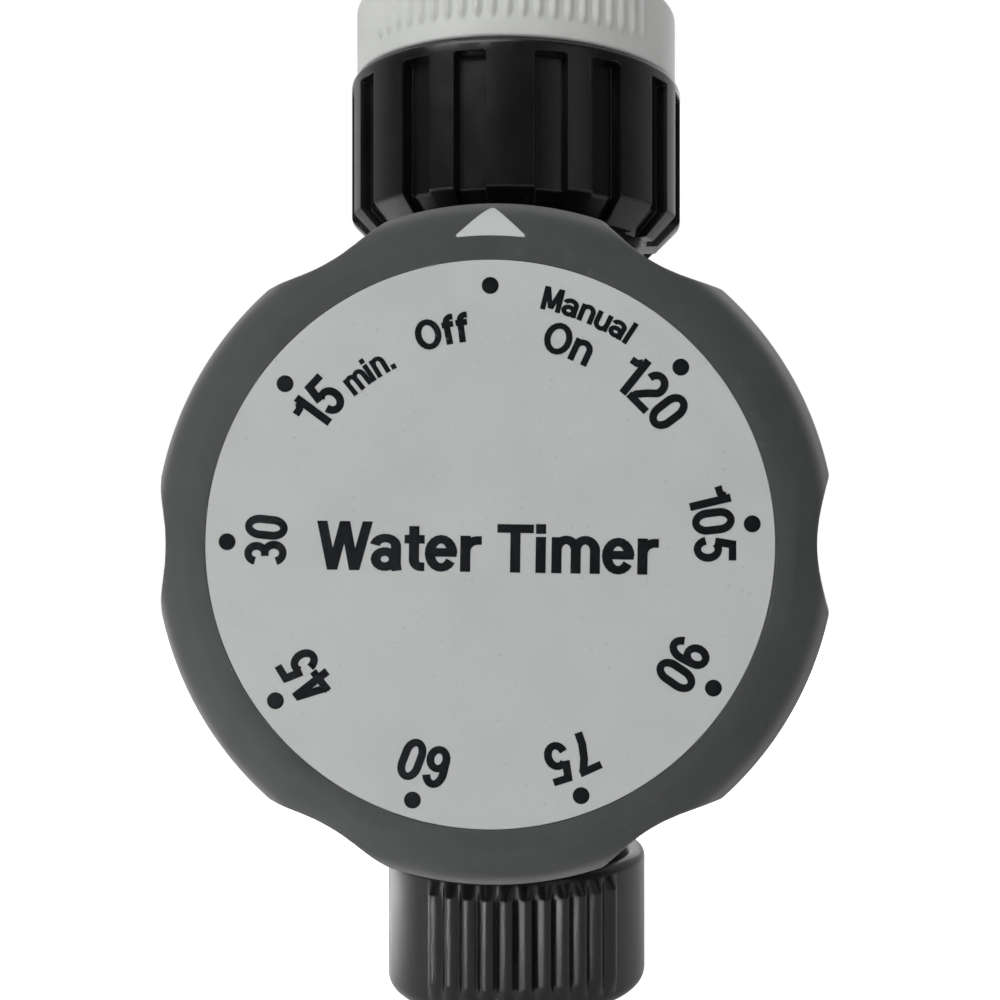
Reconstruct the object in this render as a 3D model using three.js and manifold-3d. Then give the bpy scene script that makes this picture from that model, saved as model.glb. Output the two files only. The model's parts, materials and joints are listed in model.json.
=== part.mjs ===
// A mechanical water timer for a garden tap: a clockwork dial that opens a valve and lets it close again.
// Millimetres, +Z up the water axis towards the tap, the dial faces -Y.
// Pieces are drawn around the crossing of the water axis and the dial axis, and the whole group is then
// lowered so that the frame's origin is the centre of the tap inlet's mouth.

import * as THREE from "three";
import { mergeVertices } from "three/addons/utils/BufferGeometryUtils.js";
import Module from "manifold-3d";

const wasm = await Module();
wasm.setup();

// ---- Driving dimensions ----

const REST_GAP = 0.3; // between pieces that rest on each other
const RUNNING_GAP = 0.1; // between a shaft and its bearing

// Dial, turning about Y
const FACE_Y = -40;
const FACE_R = 31.2;
const RIM_R = 39;
const RIM_Y = -32.3;
const KNOB_BACK_Y = -24;
const FACE_THICKNESS = 2.4;
const SCALLOPS = 6;
const SCALLOP_DEPTH = 3;
const SCALLOP_CUTTER_R = 14.5;
const POINTER_BASE_R = 33.9;
const POINTER_TIP_R = 37.7;
const POINTER_HALF_WIDTH = 3.75;
const SKIRT_INSIDE_R = 32.4;
const SKIRT_OUTSIDE_R = 34.4;
const GRIP_UNDERSIDE_R = 34.7;
const HUB_R = 5.6;
const HUB_END_Y = -33.6;
const STOP_LUG_R = [14, 17.5];
const STOP_HALF_DEG = 5;
const STOP_DEG = 90;
const LUG_DEG = 55;

// Housing
const DRUM_R = 35;
const WALL = 2;
const CUP_R = 31;
const CUP_FRONT_Y = -35.6;
const FLARE_Y = -23.4;
const HOUSING_BACK_Y = 17.2;
const BACK_EDGE_R = 8;
const PARTING_GAP = 0.2;
const SCREW_CIRCLE_R = 29.3;
const COUNTERBORE_R = 3;
const COUNTERBORE_Y = 4;
const INLET_NECK = { radius: 17.2, end: 39.6 };
const OUTLET_NECK = { radius: 15.6, end: -41 };
const HUB_HOLE_R = 6.2;

// Valve body, along the water axis
const SPIGOT_R = 15;
const SPIGOT_TOP = 51;
const SPIGOT_FOOT = 28;
const TUBE_R = 11.5;
const TUBE_BORE_R = 8;
const OUTLET_THREAD_R = 13.1;
const OUTLET_END = -54.5;
const CHAMBER_R = 13.5;
const CHAMBER_FRONT_Y = -11.7;
const CHAMBER_REAR_Y = 12.2;
const SEAT_R = 5.5;
const SEAT_HALF_THICKNESS = 1.5;
const RETAINER_Z = 47;

// Inlet swivel
const NUT_R = 22.5;
const NUT_BOTTOM = 40.5;
const NUT_TOP = 62;
const NUT_CHAMFER = 3.1;
const NUT_COLLAR = 1.6;
const NUT_POCKET_PAIRS = 8;
const NUT_POCKET_DEPTH = 1.5;
const NUT_POCKET_DEG = 9.8;
const NUT_PAIR_DEG = 9.65; // from a pair's middle to each of its pockets
const NUT_FIRST_PAIR_DEG = -20.5;
const MOUTH_Z = 75;
const ADAPTOR_R = 21.8;
const ADAPTOR_CHAMFER = { across: 3.6, up: 3.2 };
const ADAPTOR_SLEEVE_R = 16.4;
const ADAPTOR_FOOT = 55.1;
const TAP_SOCKET_R = 12.6;
const TAP_SOCKET_FLOOR = 58.5;

// Outlet connector
const OUTLET_R = 17.6;
const OUTLET_TOP = -42;
const OUTLET_BOTTOM = -60.5;
const NIPPLE_END = -78;
const NIPPLE_BORE_R = 4.2;
const NIPPLE_R = 5.7;
const NIPPLE_GROOVE_R = 4.9;

// Clockwork
const FRONT_PLATE = [-33.2, -32.2];
const BACK_PLATE = [-20.2, -19.2];
const PLATE_R = 26.3;
const TOOTH_MODULE = 0.5;
const GREAT_TEETH = 48;
const SECOND_TEETH = 36;
const THIRD_TEETH = 32;
const PINION_TEETH = 12;
const ARBOR_R = 0.9;
const ARBOR_HOLE_R = ARBOR_R + RUNNING_GAP;
const PIVOT_R = 0.7;
const PIVOT_SIDES = 8;
const MAIN_ARBOR_R = 3;
const MAIN_PIVOT_R = 2.2;
const PILLAR_R = 1.9;
const PILLAR_HOLE_R = 1.3;
const GREAT_WHEEL = [-31.4, -30.4];
const SECOND_PINION = [-31.7, -30.1];
const SECOND_WHEEL = [-29.4, -28.6];
const THIRD_PINION = [-29.6, -28.4];
const THIRD_WHEEL = [-27.6, -26.8];
const ESCAPE_PINION = [-27.8, -26.6];
const ESCAPEMENT = [-25.4, -24.6];
const BALANCE_RIM = [-23.2, -22.2];
const HAIRSPRING = [-21.8, -21.3];
const MAINSPRING = [-26.2, -21];
const SPRING_OUTER_R = 8.6;

// Valve stem
const STEM_R = 2;

// ---- Geometry helpers: every one returns a closed BufferGeometry ----

const degrees = THREE.MathUtils.degToRad;

function solidOf(geometry) {
  const bare = new THREE.BufferGeometry();
  bare.setAttribute("position", geometry.getAttribute("position").clone());
  if (geometry.index) {
    bare.setIndex(geometry.index.clone());
  }
  const merged = mergeVertices(bare, 1e-4);
  const corners = merged.index.array;
  const triVerts = [];
  for (let i = 0; i < corners.length; i += 3) {
    const [a, b, c] = corners.slice(i, i + 3);
    if (a !== b && b !== c && c !== a) {
      triVerts.push(a, b, c);
    }
  }
  const solid = new wasm.Manifold(
    new wasm.Mesh({
      numProp: 3,
      vertProperties: merged.getAttribute("position").array,
      triVerts: new Uint32Array(triVerts),
    }),
  );
  if (solid.volume() <= 0) {
    throw new Error("a profile runs the wrong way round");
  }
  return solid;
}

function geometryOf(solid) {
  const mesh = solid.getMesh();
  const geometry = new THREE.BufferGeometry();
  geometry.setAttribute("position", new THREE.BufferAttribute(mesh.vertProperties, 3));
  geometry.setIndex(new THREE.BufferAttribute(mesh.triVerts, 1));
  return geometry;
}

const join = (first, ...others) =>
  geometryOf(others.reduce((sum, other) => sum.add(solidOf(other)), solidOf(first)));

const cut = (base, ...tools) =>
  geometryOf(tools.reduce((left, tool) => left.subtract(solidOf(tool)), solidOf(base)));

const common = (a, b) => geometryOf(solidOf(a).intersect(solidOf(b)));

// A profile is a list of [radius, height] going out, up, in and down; it ends where it starts, or on the axis.
function turnedY(profile, segments = 16) {
  const points = profile.map(([r, h]) => new THREE.Vector2(r, h));
  return new THREE.LatheGeometry(points, segments);
}

const turnedZ = (profile, segments) => turnedY(profile, segments).rotateX(Math.PI / 2);

const rodProfile = (r, low, high) => [
  [0, low],
  [r, low],
  [r, high],
  [0, high],
];

const ringProfile = (inner, outer, low, high) => [
  [inner, low],
  [outer, low],
  [outer, high],
  [inner, high],
  [inner, low],
];

const rodY = (r, low, high, segments) => turnedY(rodProfile(r, low, high), segments);
const rodZ = (r, low, high, segments) => turnedZ(rodProfile(r, low, high), segments);
const ringY = (inner, outer, low, high, segments) =>
  turnedY(ringProfile(inner, outer, low, high), segments);
const ringZ = (inner, outer, low, high, segments) =>
  turnedZ(ringProfile(inner, outer, low, high), segments);

function block([x0, x1], [y0, y1], [z0, z1]) {
  const box = new THREE.BoxGeometry(x1 - x0, y1 - y0, z1 - z0);
  return box.translate((x0 + x1) / 2, (y0 + y1) / 2, (z0 + z1) / 2);
}

// Points along an arc in a profile's plane, angles in degrees.
function arc(cr, ch, radius, from, to, steps) {
  return Array.from({ length: steps + 1 }, (_, i) => {
    const angle = degrees(from + ((to - from) * i) / steps);
    return [cr + radius * Math.cos(angle), ch + radius * Math.sin(angle)];
  });
}

const polar = (radius, angle) => [radius * Math.cos(angle), radius * Math.sin(angle)];

const circleOutline = (radius, steps) =>
  Array.from({ length: steps }, (_, i) => polar(radius, (2 * Math.PI * i) / steps));

const vectors = (outline) => outline.map(([x, y]) => new THREE.Vector2(x, y));

// An outline in the XZ plane, extruded along Y from low to high. Holes are [x, z, radius, sides].
function plateY(outline, [low, high], holes = []) {
  const shape = new THREE.Shape(vectors(outline));
  for (const [x, z, radius, sides] of holes) {
    const rim = circleOutline(radius, sides).map(([dx, dz]) => [x + dx, z + dz]);
    shape.holes.push(new THREE.Path(vectors(rim)));
  }
  const options = { depth: high - low, bevelEnabled: false };
  return new THREE.ExtrudeGeometry(shape, options).rotateX(Math.PI / 2).translate(0, high, 0);
}

// Straight-flanked teeth with one tooth centred on the angle called phase.
function gearOutline(teeth, phase) {
  const pitchR = (teeth * TOOTH_MODULE) / 2;
  const tipR = pitchR + 0.8 * TOOTH_MODULE;
  const rootR = pitchR - 1.1 * TOOTH_MODULE;
  const pitchAngle = (2 * Math.PI) / teeth;
  const tipHalf = 0.11 * pitchAngle;
  const rootHalf = 0.27 * pitchAngle;
  return Array.from({ length: teeth }, (_, i) => phase + i * pitchAngle).flatMap((middle) => [
    polar(rootR, middle - rootHalf),
    polar(tipR, middle - tipHalf),
    polar(tipR, middle + tipHalf),
    polar(rootR, middle + rootHalf),
  ]);
}

// A flat ribbon wound from innerR to outerR.
function spiralOutline(innerR, outerR, turns, thickness, startAngle) {
  const steps = Math.round(turns * 12);
  const side = (offset) =>
    Array.from({ length: steps + 1 }, (_, i) => {
      const radius = innerR + ((outerR - innerR) * i) / steps + offset;
      return polar(radius, startAngle + (2 * Math.PI * turns * i) / steps);
    });
  return [...side(thickness / 2), ...side(-thickness / 2).reverse()];
}

class Helix extends THREE.Curve {
  constructor(radius, low, high, turns) {
    super();
    Object.assign(this, { radius, low, high, turns });
  }

  getPoint(t, target = new THREE.Vector3()) {
    const angle = 2 * Math.PI * this.turns * t;
    const height = this.low + (this.high - this.low) * t;
    return target.set(this.radius * Math.cos(angle), height, this.radius * Math.sin(angle));
  }
}

// ---- Materials ----

const finish = (color, roughness, metalness = 0) =>
  new THREE.MeshStandardMaterial({ color, roughness, metalness });

const faceWhite = finish(0xc4c8c6, 0.45);
const gripGrey = finish(0x56595a, 0.8);
const gloss = finish(0x161718, 0.32);
const housingBlack = finish(0x1b1c1d, 0.5);
const adaptorWhite = finish(0xd0d2d0, 0.4);
const valveWhite = finish(0xe2e0d6, 0.45);
const steel = finish(0xa9acad, 0.3, 1);
const springSteel = finish(0x6d7478, 0.35, 1);
const brass = finish(0xc2a04e, 0.35, 1);
const rubber = finish(0x151515, 0.85);
const nylon = finish(0xe9e6dc, 0.5);
const meshSteel = finish(0x9aa0a3, 0.45, 0.9);

// ---- Dial ----

function pointerPrism(clearance, low, high) {
  const base = POINTER_BASE_R - clearance;
  const tip = POINTER_TIP_R + 2 * clearance;
  const half = POINTER_HALF_WIDTH + 1.5 * clearance;
  const outline = [
    [-half, base],
    [half, base],
    [0, tip],
  ];
  return plateY(outline, [low, high]);
}

// The grip's outer skin from the face's edge over the rim to the back, without its underside.
const gripSkin = [
  [FACE_R + REST_GAP, FACE_Y],
  [33.2, FACE_Y],
  [36.6, -38.4],
  [38.5, -35.2],
  [RIM_R, RIM_Y],
  [38.5, -27.6],
  [36.6, KNOB_BACK_Y],
];

function scallopCutters() {
  const distance = RIM_R - SCALLOP_DEPTH + SCALLOP_CUTTER_R;
  return Array.from({ length: SCALLOPS }, (_, i) => {
    const [x, z] = polar(distance, (2 * Math.PI * i) / SCALLOPS);
    return rodY(SCALLOP_CUTTER_R, FACE_Y - 1, KNOB_BACK_Y + 1, 48).translate(x, 0, z);
  });
}

function makeGripRing() {
  const underside = [
    [GRIP_UNDERSIDE_R, KNOB_BACK_Y],
    [GRIP_UNDERSIDE_R, -36.1],
    [FACE_R + REST_GAP, -38.6],
    [FACE_R + REST_GAP, FACE_Y],
  ];
  const ring = turnedY([...gripSkin, ...underside], 36);
  const pointerHole = pointerPrism(REST_GAP, FACE_Y - 1, KNOB_BACK_Y - 10);
  return cut(ring, ...scallopCutters(), pointerHole);
}

function sector(middleDeg, halfDeg, [inner, outer], span) {
  const corner = (radius, sign) => polar(radius, degrees(middleDeg + sign * halfDeg));
  return plateY([corner(inner, -1), corner(outer, -1), corner(outer, 1), corner(inner, 1)], span);
}

function makeDialBody() {
  const inside = FACE_Y + FACE_THICKNESS;
  const shell = turnedY(
    [
      [0, FACE_Y],
      [FACE_R, FACE_Y],
      [FACE_R, -38.4],
      [SKIRT_OUTSIDE_R, -35.9],
      [SKIRT_OUTSIDE_R, -25],
      [SKIRT_INSIDE_R, -25],
      [SKIRT_INSIDE_R, -36],
      [31, inside],
      [HUB_R, inside],
      [HUB_R, HUB_END_Y],
      [0, HUB_END_Y],
    ],
    28,
  );
  const skinEnvelope = turnedY([[0, FACE_Y], ...gripSkin, [0, KNOB_BACK_Y]], 36);
  const pointer = common(pointerPrism(0, FACE_Y - 1, -35.2), skinEnvelope);
  const lug = sector(LUG_DEG, STOP_HALF_DEG, STOP_LUG_R, [inside - 0.2, -36.1]);
  const bore = dShaft(MAIN_ARBOR_R + RUNNING_GAP, -38.8, -33);
  return cut(join(shell, pointer, lug), bore);
}

// A round shaft with one flat, for driving the dial.
function dShaft(radius, low, high) {
  const flat = 2.4 + (radius - MAIN_ARBOR_R);
  return cut(rodY(radius, low, high, 16), block([-4, 4], [low - 1, high + 1], [flat, 5]));
}

// ---- Housing ----

const screwPlaces = [45, 135, 225, 315].map((angle) => polar(SCREW_CIRCLE_R, degrees(angle)));

function halfSpaceY(low, high) {
  return block([-60, 60], [low, high], [-60, 60]);
}

const necks = () => [
  rodZ(INLET_NECK.radius, 31, INLET_NECK.end, 20),
  rodZ(OUTLET_NECK.radius, OUTLET_NECK.end, -31, 20),
];

const neckBores = () => [
  rodZ(SPIGOT_R + REST_GAP, 27, INLET_NECK.end + 5, 20),
  rodZ(OUTLET_THREAD_R + REST_GAP, OUTLET_NECK.end - 5, -27, 20),
];

function makeFrontHousing() {
  const shell = turnedY(
    [
      [HUB_HOLE_R, CUP_FRONT_Y],
      [29.6, CUP_FRONT_Y],
      [CUP_R, CUP_FRONT_Y + 1.4],
      [CUP_R, FLARE_Y],
      [34.2, FLARE_Y],
      [DRUM_R, FLARE_Y + 0.8],
      [DRUM_R, -PARTING_GAP],
      [DRUM_R - WALL, -PARTING_GAP],
      [DRUM_R - WALL, FLARE_Y + WALL],
      [CUP_R - WALL, FLARE_Y + WALL],
      [CUP_R - WALL, CUP_FRONT_Y + WALL],
      [HUB_HOLE_R, CUP_FRONT_Y + WALL],
      [HUB_HOLE_R, CUP_FRONT_Y],
    ],
    28,
  );
  const frontHalf = halfSpaceY(-25, -PARTING_GAP);
  const collars = necks().map((neck) => common(neck, frontHalf));
  const bosses = screwPlaces.map(([x, z]) => rodY(2.7, -22.4, -0.8, 10).translate(x, 0, z));
  const stop = sector(STOP_DEG, STOP_HALF_DEG, STOP_LUG_R, [-37.3, CUP_FRONT_Y + 0.5]);
  const pilots = screwPlaces.map(([x, z]) => rodY(1.5, -12.5, 0, 8).translate(x, 0, z));
  const moduleHoles = pillarPlaces.map(([x, z]) => rodY(PILLAR_HOLE_R, -37, -33, 8).translate(x, 0, z));
  const sealRecess = rodY(8, CUP_FRONT_Y - 1, -34.6, 16);
  const whole = join(shell, ...collars, ...bosses, stop);
  return cut(whole, ...neckBores(), ...pilots, ...moduleHoles, sealRecess);
}

function makeRearHousing() {
  const edgeR = DRUM_R - BACK_EDGE_R;
  const edgeY = HOUSING_BACK_Y - BACK_EDGE_R;
  const shell = turnedY(
    [
      [0, HOUSING_BACK_Y - WALL],
      ...arc(edgeR, edgeY, BACK_EDGE_R - WALL, 90, 0, 3),
      [DRUM_R - WALL, PARTING_GAP],
      [DRUM_R, PARTING_GAP],
      ...arc(edgeR, edgeY, BACK_EDGE_R, 0, 90, 3),
      [0, HOUSING_BACK_Y],
    ],
    28,
  );
  const rearHalf = halfSpaceY(PARTING_GAP, 25);
  const collars = necks().map((neck) => common(neck, rearHalf));
  const bosses = screwPlaces.map(([x, z]) => rodY(4.2, PARTING_GAP, 15.6, 10).translate(x, 0, z));
  const holes = screwPlaces.map(([x, z]) => rodY(1.7, -1, 6, 8).translate(x, 0, z));
  const counterbores = screwPlaces.map(([x, z]) =>
    rodY(COUNTERBORE_R, COUNTERBORE_Y, 20, 10).translate(x, 0, z),
  );
  return cut(join(shell, ...collars, ...bosses), ...neckBores(), ...holes, ...counterbores);
}

// A cross-recess screw along Y with its head at the +Y end.
function makeScrew(headR, shankR, [tip, shoulder, top]) {
  const body = turnedY(
    [
      [0, tip],
      [shankR, tip + 1.2],
      [shankR, shoulder],
      [headR, shoulder],
      [headR, top],
      [0, top],
    ],
    8,
  );
  const slot = [top - 1, top + 1];
  return cut(body, block([-1.5, 1.5], slot, [-0.3, 0.3]), block([-0.3, 0.3], slot, [-1.5, 1.5]));
}

// ---- Valve body and its small parts ----

function makeValveBody() {
  const outlet = turnedZ(
    [
      [0, OUTLET_END],
      [OUTLET_THREAD_R - 0.8, OUTLET_END],
      [OUTLET_THREAD_R, OUTLET_END + 0.8],
      [OUTLET_THREAD_R, -36],
      [TUBE_R, -34],
      [TUBE_R, 0],
      [0, 0],
    ],
    20,
  );
  const spigot = turnedZ(
    [
      [0, -1],
      [TUBE_R, -1],
      [TUBE_R, SPIGOT_FOOT - 3],
      [SPIGOT_R, SPIGOT_FOOT],
      [SPIGOT_R, SPIGOT_TOP - 0.6],
      [SPIGOT_R - 0.6, SPIGOT_TOP],
      [0, SPIGOT_TOP],
    ],
    20,
  );
  const chamber = rodY(CHAMBER_R, CHAMBER_FRONT_Y, CHAMBER_REAR_Y, 20);
  const frontRoom = rodY(9, -8.7, -SEAT_HALF_THICKNESS, 16);
  const rearRoom = cut(
    rodY(9.8, SEAT_HALF_THICKNESS, CHAMBER_REAR_Y + 1, 16),
    ringY(SEAT_R, 6.6, SEAT_HALF_THICKNESS - 0.5, 2.3, 12),
  );
  const seatHole = rodY(SEAT_R, -3, 4, 12);
  const glandHole = rodY(6.2, CHAMBER_FRONT_Y - 1, -8, 16);
  const far = 60;
  const inletWay = cut(
    rodZ(TUBE_BORE_R, 3, SPIGOT_TOP + 1, 12),
    block([-far, far], [-far, SEAT_HALF_THICKNESS], [0, 14]),
  );
  const outletWay = cut(
    rodZ(TUBE_BORE_R, OUTLET_END - 1, -3, 12),
    block([-far, far], [-SEAT_HALF_THICKNESS, far], [-14, 0]),
  );
  const filterRoom = rodZ(9.8, 37, SPIGOT_TOP + 1, 16);
  const retainerGroove = ringZ(13.3, SPIGOT_R + 2, RETAINER_Z - 1.2, RETAINER_Z + 1.2, 20);
  const hollows = [frontRoom, rearRoom, seatHole, glandHole, inletWay, outletWay, filterRoom, retainerGroove];
  return cut(join(outlet, spigot, chamber), ...hollows);
}

function makeRetainingRing() {
  const ring = ringZ(13.7, 17.3, RETAINER_Z - 0.9, RETAINER_Z + 0.9, 20);
  return cut(ring, block([10, 20], [-2, 2], [RETAINER_Z - 2, RETAINER_Z + 2]));
}

function makeFilter() {
  const cup = turnedZ(
    [
      [0, 39.5],
      [9.2, 39.5],
      [9.2, SPIGOT_TOP + REST_GAP],
      [14.4, SPIGOT_TOP + REST_GAP],
      [14.4, SPIGOT_TOP + 1.1],
      [8.4, SPIGOT_TOP + 1.1],
      [8.4, 40.4],
      [0, 40.4],
    ],
    16,
  );
  const slots = [0, 45, 90, 135].map((angle) =>
    block([-12, 12], [-1, 1], [41.6, 49.6]).rotateZ(degrees(angle)),
  );
  return cut(cup, ...slots);
}

function makeGlandBush() {
  const bore = STEM_R + RUNNING_GAP;
  const bush = turnedY(
    [
      [bore, -13.2],
      [7.5, -13.2],
      [7.5, CHAMBER_FRONT_Y - 0.2],
      [6, CHAMBER_FRONT_Y - 0.2],
      [6, -8.9],
      [3.9, -8.9],
      [3.9, -10.6],
      [bore, -10.6],
      [bore, -13.2],
    ],
    16,
  );
  const spannerFlats = [
    [-9, -6.4],
    [6.4, 9],
  ].map((beyondFlat) => block([-9, 9], [-13.5, CHAMBER_FRONT_Y - 0.1], beyondFlat));
  return cut(bush, ...spannerFlats);
}

function makeRearPlug() {
  const plug = turnedY(
    [
      [0, 12.2],
      [6.6, 12.2],
      [6.6, 10.8],
      [9.5, 10.8],
      [9.5, 13.4],
      [12.6, 13.4],
      [12.6, 14.8],
      [0, 14.8],
    ],
    16,
  );
  return cut(plug, block([-6, 6], [13.8, 16], [-0.8, 0.8]));
}

// ---- Valve stem, sliding along Y ----

function makePlunger() {
  return turnedY(
    [
      [0, -17.2],
      [9, -17.2],
      [9, -15.9],
      [STEM_R, -15.9],
      [STEM_R, 1],
      [3.2, 1],
      [3.2, 2.3],
      [STEM_R, 2.3],
      [STEM_R, 6.7],
      [1.6, 6.7],
      [1.6, 7.5],
      [STEM_R, 7.5],
      [STEM_R - 0.4, 8.5],
      [0, 8.5],
    ],
    14,
  );
}

function makeStemClip() {
  const clip = ringY(1.75, 3.8, 6.8, 7.4, 12);
  return cut(clip, block([-1.4, 1.4], [6, 8], [0, 5]));
}

function makeReturnSpring() {
  const wire = new THREE.Shape(vectors(circleOutline(0.35, 5)));
  const coil = new Helix(5.6, 7.1, 11.6, 2.5);
  return new THREE.ExtrudeGeometry(wire, { steps: 30, extrudePath: coil });
}

// ---- Inlet swivel ----

function makeSwivelNut() {
  const inside = ADAPTOR_SLEEVE_R + 0.5;
  const nut = turnedZ(
    [
      [SPIGOT_R + REST_GAP, NUT_BOTTOM],
      [NUT_R - NUT_CHAMFER, NUT_BOTTOM],
      [NUT_R, NUT_BOTTOM + NUT_CHAMFER],
      [NUT_R, NUT_TOP - 1.2],
      [NUT_R - 1.2, NUT_TOP],
      [inside, NUT_TOP],
      [inside, 53],
      [17.8, 52],
      [17.8, NUT_BOTTOM + 4.4],
      [SPIGOT_R + REST_GAP, NUT_BOTTOM + 4.4],
      [SPIGOT_R + REST_GAP, NUT_BOTTOM],
    ],
    28,
  );
  const half = NUT_R * Math.sin(degrees(NUT_POCKET_DEG / 2));
  const floor = NUT_R - NUT_POCKET_DEPTH;
  const pockets = [];
  for (let pair = 0; pair < NUT_POCKET_PAIRS; pair += 1) {
    for (const offset of [-NUT_PAIR_DEG, NUT_PAIR_DEG]) {
      const turn = degrees(NUT_FIRST_PAIR_DEG + offset + (360 * pair) / NUT_POCKET_PAIRS);
      const pocket = block([-half, half], [-NUT_R - 1, -floor], [NUT_BOTTOM - 1, NUT_TOP - NUT_COLLAR]);
      pockets.push(pocket.rotateZ(turn));
    }
  }
  return cut(nut, ...pockets);
}

function makeTapAdaptor() {
  const foot = NUT_TOP + REST_GAP;
  return turnedZ(
    [
      [9, ADAPTOR_FOOT],
      [ADAPTOR_SLEEVE_R - 1, ADAPTOR_FOOT],
      [ADAPTOR_SLEEVE_R, ADAPTOR_FOOT + 1],
      [ADAPTOR_SLEEVE_R, foot],
      [ADAPTOR_R - 0.5, foot],
      [ADAPTOR_R, foot + 0.5],
      [ADAPTOR_R, MOUTH_Z - ADAPTOR_CHAMFER.up],
      [ADAPTOR_R - ADAPTOR_CHAMFER.across, MOUTH_Z],
      [TAP_SOCKET_R + 0.8, MOUTH_Z],
      [TAP_SOCKET_R, MOUTH_Z - 0.8],
      [TAP_SOCKET_R, TAP_SOCKET_FLOOR],
      [9, TAP_SOCKET_FLOOR],
      [9, ADAPTOR_FOOT],
    ],
    24,
  );
}

// ---- Outlet connector ----

function makeOutletConnector() {
  const threadR = OUTLET_THREAD_R + REST_GAP;
  return turnedZ(
    [
      [NIPPLE_BORE_R, NIPPLE_END],
      [5, NIPPLE_END],
      [NIPPLE_R, NIPPLE_END + 1],
      [NIPPLE_R, -75.4],
      [NIPPLE_GROOVE_R, -75.4],
      [NIPPLE_GROOVE_R, -73],
      [NIPPLE_R, -73],
      [NIPPLE_R, -70.6],
      [7.8, -69.4],
      [7.8, -66.4],
      [6.6, -65.2],
      [6.6, OUTLET_BOTTOM - 1],
      [8.6, OUTLET_BOTTOM],
      [13.2, OUTLET_BOTTOM],
      ...arc(13.6, -56.5, 4, -90, 0, 2),
      ...arc(OUTLET_R - 2.4, OUTLET_TOP - 2.4, 2.4, 0, 90, 2),
      [threadR, OUTLET_TOP],
      [threadR, -57.3],
      [NIPPLE_BORE_R, -57.3],
      [NIPPLE_BORE_R, NIPPLE_END],
    ],
    24,
  );
}

// ---- Clockwork ----

// Arbor centres as [x, z], each a pitch-circle distance from the one before it.
const pitchRadius = (teeth) => (teeth * TOOTH_MODULE) / 2;
const step = ([x, z], distance, angleDeg) => {
  const [dx, dz] = polar(distance, degrees(angleDeg));
  return [x + dx, z + dz];
};
const MAIN = [0, 0];
const SECOND_DEG = 150;
const THIRD_DEG = 262;
const ESCAPE_DEG = 300;
const PALLET_DEG = 350;
const SECOND = step(MAIN, pitchRadius(GREAT_TEETH) + pitchRadius(PINION_TEETH), SECOND_DEG);
const THIRD = step(SECOND, pitchRadius(SECOND_TEETH) + pitchRadius(PINION_TEETH), THIRD_DEG);
const ESCAPE = step(THIRD, pitchRadius(THIRD_TEETH) + pitchRadius(PINION_TEETH), ESCAPE_DEG);
const PALLET = step(ESCAPE, 8.2, PALLET_DEG);
const BALANCE = step(PALLET, 8.5, 10);
const SPRING_POST = step(MAIN, 10, 25);
const pillarPlaces = [
  [3, 23.5],
  [23, -4],
  [-2, -24],
  [-24, 3.2],
];

// A tooth points along the line of centres; the pinion it meets has a gap there.
const GREAT_PHASE = degrees(SECOND_DEG);
const SECOND_PINION_PHASE = degrees(SECOND_DEG + 180) + Math.PI / PINION_TEETH;
const SECOND_PHASE = degrees(THIRD_DEG);
const THIRD_PINION_PHASE = degrees(THIRD_DEG + 180) + Math.PI / PINION_TEETH;
const THIRD_PHASE = degrees(ESCAPE_DEG);
const ESCAPE_PINION_PHASE = degrees(ESCAPE_DEG + 180) + Math.PI / PINION_TEETH;

function makePlate(span, mainHoleR, pivotPlaces) {
  const holes = [
    [...MAIN, mainHoleR, 16],
    ...pivotPlaces.map(([x, z]) => [x, z, PIVOT_R + RUNNING_GAP, PIVOT_SIDES]),
    ...pillarPlaces.map(([x, z]) => [x, z, PILLAR_HOLE_R, PIVOT_SIDES]),
  ];
  return plateY(circleOutline(PLATE_R, 24), span, holes);
}

function makePillar() {
  const post = turnedY(
    [
      [0, FRONT_PLATE[1] + REST_GAP],
      [PILLAR_R, FRONT_PLATE[1] + REST_GAP],
      [PILLAR_R, BACK_PLATE[0] - REST_GAP],
      [1.1, BACK_PLATE[0] - REST_GAP],
      [1.1, BACK_PLATE[1] + 0.2],
      [0, BACK_PLATE[1] + 0.2],
    ],
    8,
  );
  return cut(post, rodY(PILLAR_HOLE_R, FRONT_PLATE[0], -26, 8));
}

// A steel arbor with pivots in both plates and, where teeth are given, its pinion.
function makeArbor(pinionSpan, pinionPhase) {
  const shaft = turnedY(
    [
      [0, FRONT_PLATE[0] + 0.2],
      [PIVOT_R, FRONT_PLATE[0] + 0.2],
      [PIVOT_R, FRONT_PLATE[1] + REST_GAP],
      [ARBOR_R, FRONT_PLATE[1] + REST_GAP],
      [ARBOR_R, BACK_PLATE[0] - REST_GAP],
      [PIVOT_R, BACK_PLATE[0] - REST_GAP],
      [PIVOT_R, BACK_PLATE[1] - 0.2],
      [0, BACK_PLATE[1] - 0.2],
    ],
    PIVOT_SIDES,
  );
  return pinionSpan ? join(shaft, plateY(gearOutline(PINION_TEETH, pinionPhase), pinionSpan)) : shaft;
}

function makeWheel(teeth, phase, span, boreR, boreSides = PIVOT_SIDES) {
  return plateY(gearOutline(teeth, phase), span, [[0, 0, boreR, boreSides]]);
}

function makeMainArbor() {
  const stepY = BACK_PLATE[0] - 0.4;
  const arbor = turnedY(
    [
      [0, -33.4],
      [MAIN_ARBOR_R, -33.4],
      [MAIN_ARBOR_R, stepY],
      [MAIN_PIVOT_R, stepY],
      [MAIN_PIVOT_R, -18.1],
      [0, -18.1],
    ],
    16,
  );
  return join(arbor, dShaft(MAIN_ARBOR_R, -38.6, -33));
}

function makeTimingCam() {
  const disc = ringY(MAIN_PIVOT_R + RUNNING_GAP, 11, -18.8, -18, 20);
  const track = ringY(6.5, 10, -18.2, -17.4, 20);
  const offNotch = sector(STOP_DEG, 14, [5.5, 12], [-18, -17]);
  return cut(join(disc, track), offNotch);
}

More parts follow.
